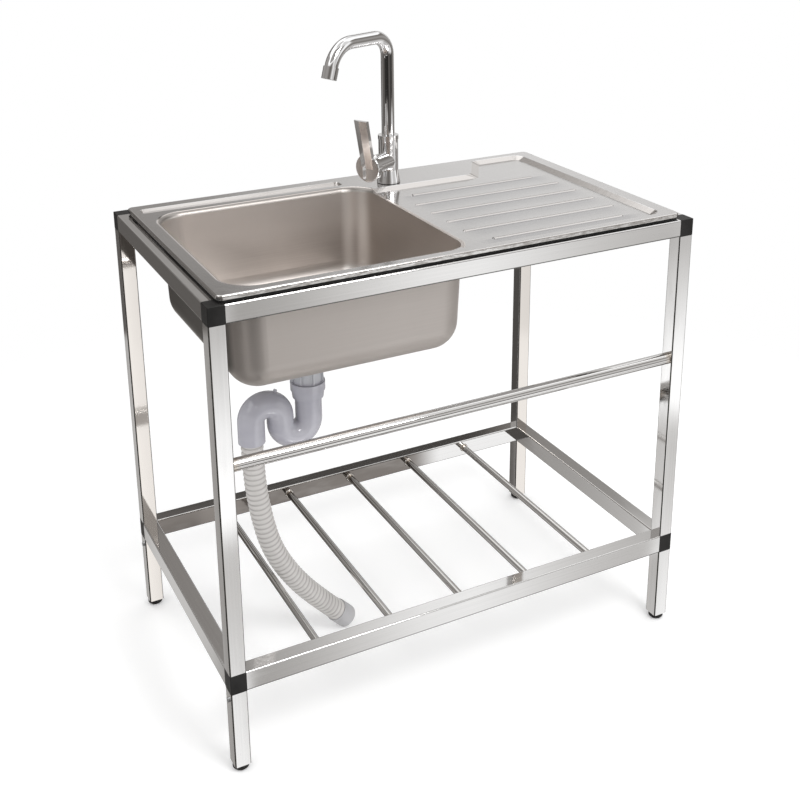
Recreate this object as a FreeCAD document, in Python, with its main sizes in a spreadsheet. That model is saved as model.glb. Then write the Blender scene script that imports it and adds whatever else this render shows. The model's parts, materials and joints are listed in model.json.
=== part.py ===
"""Outdoor sink: a pressed steel sink top with a tap and a waste, on a stand of square tube.

Millimetres. The origin is on the floor under the middle of the stand. X runs towards the
drainboard, Y towards the rear and Z up.
"""
import FreeCAD
import Part
import math
import operator
import os
import types

import Sketcher

# Driving sizes
STAND_SIZES = {
    "frame_width": 800,
    "frame_depth": 480,
    "stand_height": 740,
    "tube_size": 25,
    "tube_wall": 1.2,
    "tube_edge": 2,
    "cap_height": 27.5,
    "joint_low": 139,
    "joint_height": 32,
    "joint_edge": 0.8,
    "spigot_length": 30,
    "spigot_clearance": 0.15,
    "foot_height": 10,
    "foot_radius": 12.4,
    "foot_dome_radius": 9,
    "foot_dome_height": 3.5,
    "foot_spigot_radius": 10.8,
    "foot_spigot_length": 20,
    "mid_rail_height": 500,
    "mid_rail_radius": 9.5,
    "mid_rail_wall": 1.2,
    "shelf_bar_height": 156,
    "shelf_bar_radius": 6,
    "shelf_bar_wall": 1,
    "bar_clearance": 0.1,
    "screw_drop": 15,
    "screw_radius": 1.9,
    "screw_length": 9,
    "screw_head_radius": 3.6,
    "screw_head_height": 2.2,
    "screw_clearance": 0.05,
}
SINK_SIZES = {
    "rim_left_reveal": 17.5,
    "rim_right_reveal": 20.5,
    "rim_front_reveal": 8,
    "rim_rear_reveal": 22,
    "rim_height": 7,
    "rim_corner": 8,
    "rim_edge": 2.5,
    "sheet": 1,
    "seal_height": 3,
    "seal_width": 6,
    "seal_inset": 2,
    "bowl_left_border": 26,
    "bowl_front_border": 21,
    "bowl_rear_border": 65,
    "bowl_length": 370,
    "bowl_depth": 167.5,
    "bowl_taper": 6,
    "bowl_corner": 46,
    "bowl_floor_radius": 43,
    "bowl_mouth_radius": 8,
    "board_depth": 6,
    "board_wall_run": 12,
    "board_corner": 9,
    "board_overlap": 26,
    "board_front_border": 24,
    "board_right_border": 34,
    "board_rear_border": 26,
    "ledge_depth": 102,
    "ledge_front_end": 162,
    "ledge_rear_end": 116,
    "rib_first_gap": 41,
    "rib_last_gap": 47,
    "rib_bowl_gap": 33,
    "rib_end_gap": 26,
    "rib_setback": 20,
    "rib_radius": 5,
    "rib_rise": 2,
    "trough_left_border": 17.5,
    "trough_rear_border": 25,
    "trough_length": 342,
    "trough_width": 19,
    "trough_depth": 4,
    "trough_wall_run": 4,
    "trough_corner": 4,
    "tap_bowl_gap": 45,
    "tap_rear_offset": 66,
    "tap_hole_radius": 15,
    "drain_hole_radius": 44,
    "drain_left_shift": 3,
    "drain_rear_shift": 11,
}
WASTE_SIZES = {
    "flange_radius": 56,
    "flange_thickness": 1.2,
    "cup_radius": 41.5,
    "cup_wall": 1,
    "cup_depth": 30,
    "cup_hole_radius": 6.5,
    "cup_hole_circle": 24,
    "basket_lip_radius": 46,
    "basket_gap": 1,
    "basket_wall": 1,
    "basket_depth": 20,
    "basket_hole_radius": 2.5,
    "basket_hole_circle": 27,
    "basket_post_radius": 4,
    "basket_knob_radius": 9,
    "basket_knob_height": 6,
    "basket_post_height": 30,
    "gasket_thickness": 3,
    "drain_flange_radius": 54,
    "drain_flange_thickness": 4,
    "drain_cup_radius": 46.5,
    "drain_wall": 3,
    "drain_cup_depth": 38,
    "neck_radius": 23.9,
    "neck_bore_radius": 19,
    "neck_length": 64.5,
    "fin_root": 22,
    "fin_reach": 27.3,
    "fin_width": 2,
    "fin_height": 46.5,
    "web_width": 9,
    "web_height": 8,
    "web_drop": 6,
    "clamp_radius": 3,
    "clamp_head_radius": 6,
    "clamp_head_height": 3,
    "clamp_clearance": 0.1,
    "nut_radius": 28,
    "nut_height": 27,
    "nut_lip": 5,
    "nut_low_radius": 25,
    "nut_waist_radius": 26.5,
    "nut_waist_height": 13,
    "thread_clearance": 0.2,
    "trap_seal_height": 3,
    "trap_flange_height": 3,
    "trap_radius": 21.5,
    "trap_wall": 4,
    "trap_pitch": 49,
    "trap_inlet_drop": 41,
    "trap_rise": 12.5,
    "trap_outlet_drop": 34.5,
    "nub_radius": 3,
    "nub_root": 3,
    "nub_height": 4,
    "hose_radius": 18,
    "hose_valley_radius": 15.8,
    "hose_bore_radius": 14.5,
    "hose_socket": 12,
    "hose_clearance": 0.2,
    "hose_plain": 13,
    "hose_rib_pitch": 9.2,
    "cuff_radius": 19.6,
    "cuff_length": 30,
    "cuff_socket": 10,
}
TAP_SIZES = {
    "base_gasket_height": 0.8,
    "base_gasket_radius": 19.5,
    "base_radius": 20.5,
    "base_height": 2.5,
    "base_flare": 20,
    "barrel_radius": 16.9,
    "barrel_height": 53.5,
    "waterway_radius": 7,
    "socket_depth": 24,
    "collar_radius": 17.6,
    "collar_height": 7,
    "running_clearance": 0.08,
    "branch_height": 38,
    "branch_radius": 16.2,
    "branch_length": 25,
    "valve_port_radius": 4,
    "cartridge_radius": 11,
    "cartridge_length": 40,
    "cartridge_seat": 15,
    "cartridge_clearance": 0.1,
    "bonnet_radius": 16.4,
    "bonnet_length": 31,
    "stem_radius": 4,
    "stem_depth": 8,
    "stem_reach": 8,
    "stem_flat": 0.8,
    "lever_gap": 0.5,
    "lever_hub_radius": 24,
    "lever_hub_depth": 8,
    "lever_face": 11.5,
    "lever_hub_edge": 2.5,
    "lever_length": 85,
    "lever_width": 26,
    "lever_tip_width": 27,
    "lever_back": 4,
    "lever_edge": 3,
    "lever_ridge_offset": 1.5,
    "lever_lean": 20,
    "lever_tail": 19.5,
    "grub_offset": 4,
    "grub_radius": 2,
    "grub_length": 6,
    "grub_socket_radius": 1.1,
    "grub_socket_depth": 2.5,
    "spout_radius": 11,
    "spout_wall": 1,
    "spout_height": 252,
    "spout_first_bend": 32,
    "spout_run": 56,
    "spout_second_bend": 49,
    "spout_tip_angle": 72,
    "seal_ring_height": 3,
    "seal_ring_depth": 2.2,
    "seal_ring_gap": 7,
    "aerator_radius": 12.6,
    "aerator_length": 20,
    "aerator_insert_height": 8,
    "aerator_hole_radius": 1.1,
    "aerator_hole_circle": 6,
    "shank_radius": 10.48,
    "shank_length": 45,
    "shank_groove_radius": 9.6,
    "shank_groove": 2,
    "inlet_thread": 22,
    "back_nut_flange_radius": 21,
    "back_nut_flange_height": 3,
    "back_nut_radius": 18,
    "back_nut_height": 10,
    "shank_clearance": 0.15,
}
COMMON_SIZES = {"overrun": 2}

# Counts, angles in degrees, and shares
SHELF_BAR_COUNT = 5
RIB_COUNT = 6
CUP_HOLE_COUNT = 6
BASKET_HOLE_COUNTS = (12, 6)
FIN_COUNT = 8
AERATOR_HOLE_COUNT = 10
TAP_TURN = 211
SPOUT_TURN = 202
NUB_TURN = 22
HALF_TURN = 180
FULL_TURN = 360
ARC_RUN_SHARE = 0.45
RIB_SHARES = (0.15, 0.45, 0.6)

# Hose route from the trap's socket to the cuff, as offsets from the socket's shoulder
HOSE_ROUTE = [
    (0, 0, 0),
    (0, 0, -67),
    (8, 0, -138),
    (23.5, 1.5, -209),
    (55.5, 6, -273),
    (101.5, 14.2, -336.5),
    (152, 23.8, -392.7),
]

SIGNS = {"+": operator.add, "-": operator.sub, "*": operator.mul, "/": operator.truediv}


class Size:
    """A size of the sheet, or one worked out from such sizes, with its expression."""

    def __init__(self, text, value):
        self.text = text
        self.value = value

    def joined(self, sign, other, swapped=False):
        other = sized(other)
        left, right = (other, self) if swapped else (self, other)
        return Size(f"({left.text} {sign} {right.text})", SIGNS[sign](left.value, right.value))

    def __add__(self, other):
        return self.joined("+", other)

    def __radd__(self, other):
        return self.joined("+", other, swapped=True)

    def __sub__(self, other):
        return self.joined("-", other)

    def __rsub__(self, other):
        return self.joined("-", other, swapped=True)

    def __mul__(self, other):
        return self.joined("*", other)

    def __rmul__(self, other):
        return self.joined("*", other, swapped=True)

    def __truediv__(self, other):
        return self.joined("/", other)

    def __neg__(self):
        return 0 - self


def sized(number):
    return number if isinstance(number, Size) else Size(repr(number), number)


doc = FreeCAD.newDocument("OutdoorSink")
sheet = doc.addObject("Spreadsheet::Sheet", "Sizes")
cells = {}
for group in (STAND_SIZES, SINK_SIZES, WASTE_SIZES, TAP_SIZES, COMMON_SIZES):
    for alias, number in group.items():
        row = len(cells) + 1
        sheet.set(f"A{row}", alias)
        sheet.set(f"B{row}", str(number))
        sheet.setAlias(f"B{row}", alias)
        cells[alias] = Size(f"Sizes.{alias}", number)
doc.recompute()
S = types.SimpleNamespace(**cells)
nodes = []

ALONG = {
    "X": FreeCAD.Rotation(FreeCAD.Vector(0, 1, 0), 90),
    "Y": FreeCAD.Rotation(FreeCAD.Vector(1, 0, 0), -90),
    "Z": FreeCAD.Rotation(),
}
UNIT = {"X": FreeCAD.Vector(1, 0, 0), "Y": FreeCAD.Vector(0, 1, 0), "Z": FreeCAD.Vector(0, 0, 1)}
ZERO = sized(0)


# Building blocks
def bind(made, **sizes):
    for name, size in sizes.items():
        made.setExpression(name, sized(size).text)
    return made


def place(made, corner, turn=None):
    if turn is not None:
        made.Placement = FreeCAD.Placement(FreeCAD.Vector(), turn)
    for letter, size in zip("xyz", corner):
        made.setExpression("Placement.Base." + letter, sized(size).text)
    return made


def node(label, made):
    """Marks a shape as a sub-part with a file of its own."""
    made.Label = label
    nodes.append(made)
    return made


def box(sizes, corner):
    made = bind(doc.addObject("Part::Box", "Block"), Length=sizes[0], Width=sizes[1], Height=sizes[2])
    return place(made, corner)


def rod(radius, length, start, run="Z"):
    made = bind(doc.addObject("Part::Cylinder", "Rod"), Radius=radius, Height=length)
    return place(made, start, ALONG[run])


def fuse(*shapes):
    made = doc.addObject("Part::MultiFuse", "Joined")
    made.Shapes = list(shapes)
    made.Refine = True
    return made


def cut(base, *tools):
    made = doc.addObject("Part::Cut", "Cut")
    made.Base = base
    made.Tool = tools[0] if len(tools) == 1 else fuse(*tools)
    return made


def common(base, tool):
    made = doc.addObject("Part::Common", "Shared")
    made.Base = base
    made.Tool = tool
    return made


def plain(shape):
    """A shape made with Part's own functions, as an object of the document."""
    made = doc.addObject("Part::Feature", "Form")
    made.Shape = shape
    return made


def rounded(base, radius, wanted):
    """Rounds the base's edges that the test picks."""
    doc.recompute()
    made = doc.addObject("Part::Fillet", "Rounded")
    made.Base = base
    edges = enumerate(base.Shape.Edges, start=1)
    made.Edges = [(number, radius.value, radius.value) for number, edge in edges if wanted(edge)]
    return made


def runs_along(letter):
    def wanted(edge):
        if not isinstance(edge.Curve, Part.Line):
            return False
        return abs(edge.Curve.Direction.dot(UNIT[letter])) > math.cos(math.radians(TOLERANCE_ANGLE))
    return wanted


def lies_at(height):
    def wanted(edge):
        limits = edge.BoundBox
        return max(abs(limits.ZMin - height.value), abs(limits.ZMax - height.value)) < S.sheet.value / 2
    return wanted


TOLERANCE_ANGLE = 12


def ring(outer, inner, height, start, run="Z"):
    """A plain round ring, with its bore run through both faces."""
    index = "XYZ".index(run)
    bore_start = list(start)
    bore_start[index] = start[index] - S.overrun
    return cut(rod(outer, height, start, run), rod(inner, height + 2 * S.overrun, bore_start, run))


def plane(body, role):
    return next(feature for feature in body.Origin.OriginFeatures if feature.Role == role)


def turned(outline, start):
    """A body of revolution about Z from an outline of radius and height pairs."""
    body = doc.addObject("PartDesign::Body", "Turned")
    sketch = body.newObject("Sketcher::SketchObject", "Profile")
    sketch.AttachmentSupport = (plane(body, "XZ_Plane"), [""])
    sketch.MapMode = "FlatFace"
    outline = [(sized(radius), sized(height)) for radius, height in outline]
    points = [FreeCAD.Vector(radius.value, height.value, 0) for radius, height in outline]
    count = len(points)
    for index in range(count):
        sketch.addGeometry(Part.LineSegment(points[index], points[(index + 1) % count]))
    for index in range(count):
        sketch.addConstraint(Sketcher.Constraint("Coincident", index, 2, (index + 1) % count, 1))
    for index, pair in enumerate(outline):
        for kind, axis, size in zip(("DistanceX", "DistanceY"), (-2, -1), pair):
            if size.value == 0:
                sketch.addConstraint(Sketcher.Constraint("PointOnObject", index, 1, axis))
            else:
                limit = sketch.addConstraint(Sketcher.Constraint(kind, -1, 1, index, 1, size.value))
                sketch.setExpression(f"Constraints[{limit}]", size.text)
    turning = body.newObject("PartDesign::Revolution", "Revolution")
    turning.Profile = sketch
    turning.ReferenceAxis = (sketch, ["V_Axis"])
    turning.Angle = FULL_TURN
    return place(body, start)


def around(count, circle, make):
    """Shapes spread evenly on a circle about Z; make takes a local x and y."""
    made = []
    for number in range(count):
        angle = math.radians(FULL_TURN * number / count)
        made.append(make(circle * math.cos(angle), circle * math.sin(angle)))
    return made


def unit(vector):
    return vector * (1 / vector.Length)


def outline(corners, radius, height):
    """A closed wire through the corners at a height, with each corner rounded."""
    points = [FreeCAD.Vector(x.value, y.value, height.value) for x, y in corners]
    edges = []
    arcs = []
    for index, corner in enumerate(points):
        inward = unit(points[index - 1] - corner)
        outward = unit(points[(index + 1) % len(points)] - corner)
        half = inward.getAngle(outward) / 2
        start = corner + inward * (radius.value / math.tan(half))
        end = corner + outward * (radius.value / math.tan(half))
        middle = corner + unit(inward + outward) * (radius.value / math.sin(half) - radius.value)
        arcs.append((start, middle, end))
    for index, (start, middle, end) in enumerate(arcs):
        edges.append(Part.LineSegment(arcs[index - 1][2], start).toShape())
        edges.append(Part.Arc(start, middle, end).toShape())
    return Part.Wire(edges)


def tapered(low, high):
    """A solid with ruled walls between two outlines."""
    return plain(Part.makeLoft([low, high], True, True))


# Main levels and places
half_width = S.frame_width / 2
half_depth = S.frame_depth / 2
joint_top = S.joint_low + S.joint_height
cap_low = S.stand_height - S.cap_height
rim_low = S.stand_height + S.seal_height
deck = rim_low + S.rim_height
rim_left = S.rim_left_reveal - half_width
rim_front = S.rim_front_reveal - half_depth
rim_length = S.frame_width - S.rim_left_reveal - S.rim_right_reveal
rim_depth = S.frame_depth - S.rim_front_reveal - S.rim_rear_reveal
rim_right = rim_left + rim_length
rim_rear = rim_front + rim_depth
bowl_left = rim_left + S.bowl_left_border
bowl_front = rim_front + S.bowl_front_border
bowl_right = bowl_left + S.bowl_length
bowl_width = rim_depth - S.bowl_front_border - S.bowl_rear_border
bowl_floor = deck - S.bowl_depth
rib_pitch = (rim_depth - S.ledge_depth - S.rib_first_gap - S.rib_last_gap) / (RIB_COUNT - 1)
drain_x = bowl_left + S.bowl_length / 2 - S.drain_left_shift
drain_y = bowl_front + bowl_width / 2 + S.drain_rear_shift
tap_x = bowl_right + S.tap_bowl_gap
tap_y = rim_rear - S.tap_rear_offset

CORNERS = {
    "front_left": (-1, -1),
    "front_right": (1, -1),
    "rear_left": (-1, 1),
    "rear_right": (1, 1),
}


def outer_low(side, half, width):
    """Lower coordinate of a piece of a width that lies flush with one side of the stand."""
    return side * (half - width / 2) - width / 2


# Stand
def square_tube(label, run, sizes, corner, *holes):
    """A thin-walled tube with rounded long edges and any side holes."""
    index = "XYZ".index(run)
    bore = [size - 2 * S.tube_wall for size in sizes]
    bore[index] = sizes[index] + 2 * S.overrun
    bore_corner = [start + S.tube_wall for start in corner]
    bore_corner[index] = corner[index] - S.overrun
    block = rounded(box(sizes, corner), S.tube_edge, runs_along(run))
    return node(label, cut(block, box(bore, bore_corner), *holes))


def spigot(run, side, start, centre, section):
    """A plug that runs from a joint's face into a tube; section gives its tube's other sides."""
    index = "XYZ".index(run)
    trimmed = [side_size - 2 * (S.tube_wall + S.spigot_clearance) for side_size in section]
    sizes = trimmed[:index] + [S.spigot_length] + trimmed[index:]
    corner = [middle - size / 2 for middle, size in zip(centre, sizes)]
    corner[index] = start + (side - 1) / 2 * S.spigot_length
    return box(sizes, corner)


def screw_hole(side_x, centre_y, radius):
    start = outer_low(side_x, half_width + S.overrun, S.screw_length + S.overrun)
    length = S.screw_length + S.overrun
    return rod(radius, length, (start, centre_y, S.joint_low - S.screw_drop), "X")


def stand_corner(name, side_x, side_y):
    """Cap, legs, lower joint and foot of one corner of the stand; gives its screw back."""
    corner_x = outer_low(side_x, half_width, S.tube_size)
    corner_y = outer_low(side_y, half_depth, S.tube_size)
    centre = [corner_x + S.tube_size / 2, corner_y + S.tube_size / 2]
    tube = [S.tube_size, S.tube_size]
    inner_x = centre[0] - side_x * S.tube_size / 2
    inner_y = centre[1] - side_y * S.tube_size / 2

    cap_centre = [*centre, cap_low + S.cap_height / 2]
    cap_block = box([*tube, S.cap_height], [corner_x, corner_y, cap_low])
    top_rail = [S.tube_size, S.cap_height]
    node(name + "_cap", fuse(
        rounded(cap_block, S.joint_edge, lambda edge: True),
        spigot("X", -side_x, inner_x, cap_centre, top_rail),
        spigot("Y", -side_y, inner_y, cap_centre, top_rail),
        spigot("Z", -1, cap_low, cap_centre, tube),
    ))

    mid_hole = []
    if side_y < 0:
        inner_wall = inner_x - S.tube_wall / 2 - S.overrun
        reach = S.tube_wall + 2 * S.overrun
        start = (inner_wall, centre[1], S.mid_rail_height)
        mid_hole = [rod(S.mid_rail_radius + S.bar_clearance, reach, start, "X")]
    square_tube(name + "_upper_leg", "Z", [*tube, cap_low - joint_top],
                [corner_x, corner_y, joint_top], *mid_hole)

    joint_centre = [*centre, S.joint_low + S.joint_height / 2]
    joint_block = box([*tube, S.joint_height], [corner_x, corner_y, S.joint_low])
    rail = [S.tube_size, S.joint_height]
    joint = fuse(
        rounded(joint_block, S.joint_edge, lambda edge: True),
        spigot("X", -side_x, inner_x, joint_centre, rail),
        spigot("Y", -side_y, inner_y, joint_centre, rail),
        spigot("Z", 1, joint_top, joint_centre, tube),
        spigot("Z", -1, S.joint_low, joint_centre, tube),
    )
    hole_radius = S.screw_radius + S.screw_clearance
    node(name + "_lower_joint", cut(joint, screw_hole(side_x, centre[1], hole_radius)))

    square_tube(name + "_lower_leg", "Z", [*tube, S.joint_low - S.foot_height],
                [corner_x, corner_y, S.foot_height], screw_hole(side_x, centre[1], hole_radius))

    node(name + "_foot", turned([
        (0, 0),
        (S.foot_dome_radius, 0),
        (S.foot_radius, S.foot_dome_height),
        (S.foot_radius, S.foot_height),
        (S.foot_spigot_radius, S.foot_height),
        (S.foot_spigot_radius, S.foot_height + S.foot_spigot_length),
        (0, S.foot_height + S.foot_spigot_length),
    ], [*centre, ZERO]))

    head_start = side_x * (half_width + S.screw_head_height / 2) - S.screw_head_height / 2
    head = rod(S.screw_head_radius, S.screw_head_height,
               (head_start, centre[1], S.joint_low - S.screw_drop), "X")
    shank_start = outer_low(side_x, half_width, S.screw_length)
    shank = rod(S.screw_radius, S.screw_length, (shank_start, centre[1], S.joint_low - S.screw_drop), "X")
    return fuse(head, shank)


def group(label, pieces):
    """Identical fasteners as separate solids of one node."""
    made = doc.addObject("Part::Compound", "Group")
    made.Links = pieces
    return node(label, made)


screws = []
for name, (side_x, side_y) in CORNERS.items():
    screws.append(stand_corner(name, side_x, side_y))
group("frame_screws", screws)

bar_pitch = (S.frame_width - 2 * S.tube_size) / (SHELF_BAR_COUNT + 1)
bar_places = [S.tube_size - half_width + (number + 1) * bar_pitch for number in range(SHELF_BAR_COUNT)]


def bar_holes(inner_y):
    """Holes for the shelf bars in the inner wall of the front or the rear lower rail."""
    start = inner_y - S.tube_wall / 2 - S.overrun
    reach = S.tube_wall + 2 * S.overrun
    radius = S.shelf_bar_radius + S.bar_clearance
    return [rod(radius, reach, (x, start, S.shelf_bar_height), "Y") for x in bar_places]


def rails():
    """Top rails, lower rails, the mid rail and the shelf bars."""
    long_run = S.frame_width - 2 * S.tube_size
    short_run = S.frame_depth - 2 * S.tube_size
    for name, side in (("front", -1), ("rear", 1)):
        y = outer_low(side, half_depth, S.tube_size)
        inner_y = side * (half_depth - S.tube_size)
        square_tube(name + "_top_rail", "X", [long_run, S.tube_size, S.cap_height],
                    [-long_run / 2, y, cap_low])
        square_tube(name + "_lower_rail", "X", [long_run, S.tube_size, S.joint_height],
                    [-long_run / 2, y, S.joint_low], *bar_holes(inner_y + side * S.tube_wall / 2))
    for name, side in (("left", -1), ("right", 1)):
        x = outer_low(side, half_width, S.tube_size)
        square_tube(name + "_top_rail", "Y", [S.tube_size, short_run, S.cap_height],
                    [x, -short_run / 2, cap_low])
        square_tube(name + "_lower_rail", "Y", [S.tube_size, short_run, S.joint_height],
                    [x, -short_run / 2, S.joint_low])

    mid_length = S.frame_width - 2 * S.tube_wall
    mid_start = (-mid_length / 2, S.tube_size / 2 - half_depth, S.mid_rail_height)
    node("mid_rail", ring(S.mid_rail_radius, S.mid_rail_radius - S.mid_rail_wall, mid_length, mid_start, "X"))

    bar_length = S.frame_depth - 2 * S.tube_wall
    for number, x in enumerate(bar_places, start=1):
        start = (x, -bar_length / 2, S.shelf_bar_height)
        bore = S.shelf_bar_radius - S.shelf_bar_wall
        node(f"shelf_bar_{number}", ring(S.shelf_bar_radius, bore, bar_length, start, "Y"))


rails()


# Sink top
def round_block(sizes, corner, radius):
    return rounded(box(sizes, corner), radius, runs_along("Z"))


def rim_shell():
    block = round_block([rim_length, rim_depth, S.rim_height], [rim_left, rim_front, rim_low], S.rim_corner)
    hollow = round_block(
        [rim_length - 2 * S.sheet, rim_depth - 2 * S.sheet, S.rim_height - S.sheet + S.overrun],
        [rim_left + S.sheet, rim_front + S.sheet, rim_low - S.overrun],
        S.rim_corner - S.sheet,
    )
    return cut(rounded(block, S.rim_edge, lies_at(deck)), hollow)


def basin(grow, top, floor):
    """Tapered bowl flared into a plate at its mouth; grow is added outside the clear opening."""
    made = doc.addObject("Part::Wedge", "Basin")
    length = S.bowl_length + 2 * grow
    width = bowl_width + 2 * grow
    bind(made, Xmin=0, Ymin=0, Zmin=0, X2min=S.bowl_taper, Z2min=S.bowl_taper, Xmax=length, Ymax=top - floor,
         Zmax=width, X2max=length - S.bowl_taper, Z2max=width - S.bowl_taper)
    place(made, (bowl_left - grow, bowl_front - grow, top), FreeCAD.Rotation(UNIT["X"], -90))
    walls = rounded(made, S.bowl_corner + grow, runs_along("Z"))
    bowl = rounded(walls, S.bowl_floor_radius + grow, lies_at(floor))
    plate_low = deck - grow
    plate = box([rim_length - 2 * S.rim_corner, rim_depth - 2 * S.rim_corner, top - plate_low],
                [rim_left + S.rim_corner, rim_front + S.rim_corner, plate_low])
    left = bowl_left - S.bowl_mouth_radius
    right = bowl_right + S.bowl_mouth_radius

    def at_mouth(edge):
        within = edge.BoundBox.XMin > left.value and edge.BoundBox.XMax < right.value
        return within and lies_at(plate_low)(edge)

    return rounded(fuse(plate, bowl), S.bowl_mouth_radius - grow, at_mouth)


def board_corners(spread):
    """Outline of the drainboard, widened all round by the spread."""
    left = bowl_right - S.board_overlap
    front = rim_front + S.board_front_border - spread
    right = rim_right - S.board_right_border + spread
    rear = rim_rear - S.board_rear_border + spread
    ledge_front = rim_rear - S.ledge_depth + spread
    return [
        (left, front),
        (right, front),
        (right, rear),
        (rim_right - S.ledge_rear_end - spread, rear),
        (rim_right - S.ledge_front_end - spread, ledge_front),
        (left, ledge_front),
    ]


def trough_corners(spread):
    left = rim_left + S.trough_left_border - spread
    rear = rim_rear - S.trough_rear_border + spread
    right = left + S.trough_length + 2 * spread
    front = rear - S.trough_width - 2 * spread
    return [(left, front), (right, front), (right, rear), (left, rear)]


def pan(corners, depth, wall_run, corner_radius):
    """Outer form and hollow of a shallow pan pressed into the deck."""
    shift = S.sheet / 2
    form = tapered(outline(corners(shift), corner_radius, deck - depth - S.sheet),
                   outline(corners(wall_run + S.sheet), corner_radius + wall_run, deck - shift))
    hollow = tapered(outline(corners(ZERO), corner_radius, deck - depth),
                     outline(corners(wall_run), corner_radius + wall_run, deck + S.overrun / 2))
    return form, hollow


def drain_ribs():
    """Raised ribs of the drainboard, as the tops of round-ended rods."""
    floor = deck - S.board_depth
    middle = floor + S.rib_rise - S.rib_radius
    rods = []
    for number in range(RIB_COUNT):
        setback = S.rib_setback if number in (0, RIB_COUNT - 1) else ZERO
        left = bowl_right + S.rib_bowl_gap + setback
        right = rim_right - S.board_right_border - S.rib_end_gap - setback
        y = rim_rear - S.ledge_depth - S.rib_first_gap - number * rib_pitch
        rods.append(rod(S.rib_radius, right - left, (left, y, middle), "X"))
        for x in (left, right):
            end = bind(doc.addObject("Part::Sphere", "RibEnd"), Radius=S.rib_radius)
            rods.append(place(end, (x, y, middle)))
    slab = box([rim_length, rim_depth, S.sheet / 2 + S.rib_rise + S.overrun],
               [rim_left, rim_front, floor - S.sheet / 2])
    return common(fuse(*rods), slab)


def sink_top():
    board, board_hollow = pan(board_corners, S.board_depth, S.board_wall_run, S.board_corner)
    trough, trough_hollow = pan(trough_corners, S.trough_depth, S.trough_wall_run, S.trough_corner)
    pressed = fuse(rim_shell(), board, trough, basin(S.sheet, deck - S.sheet / 2, bowl_floor - S.sheet))
    tap_hole = rod(S.tap_hole_radius, S.rim_height + S.overrun, (tap_x, tap_y, rim_low))
    drain_hole = rod(S.drain_hole_radius, S.sheet + 2 * S.overrun,
                     (drain_x, drain_y, bowl_floor - S.sheet - S.overrun))
    opened = cut(pressed, board_hollow, trough_hollow, basin(ZERO, deck + S.overrun, bowl_floor),
                 tap_hole, drain_hole)
    return node("sink_top", fuse(opened, drain_ribs()))


def rim_seal():
    inset = S.seal_inset
    inner = inset + S.seal_width
    outer_block = round_block([rim_length - 2 * inset, rim_depth - 2 * inset, S.seal_height],
                              [rim_left + inset, rim_front + inset, S.stand_height], S.rim_corner - inset)
    clear = box([rim_length - 2 * inner, rim_depth - 2 * inner, S.seal_height + 2 * S.overrun],
                [rim_left + inner, rim_front + inner, S.stand_height - S.overrun])
    return node("rim_seal", cut(outer_block, clear))


sink_top()
rim_seal()


# Waste
under_floor = bowl_floor - S.sheet
neck_end = bowl_floor - S.drain_cup_depth - S.neck_length
trap_top = neck_end - S.trap_seal_height
low_bend = trap_top - S.trap_flange_height - S.trap_inlet_drop
high_bend = low_bend + S.trap_rise
trap_outlet = high_bend - S.trap_outlet_drop


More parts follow.
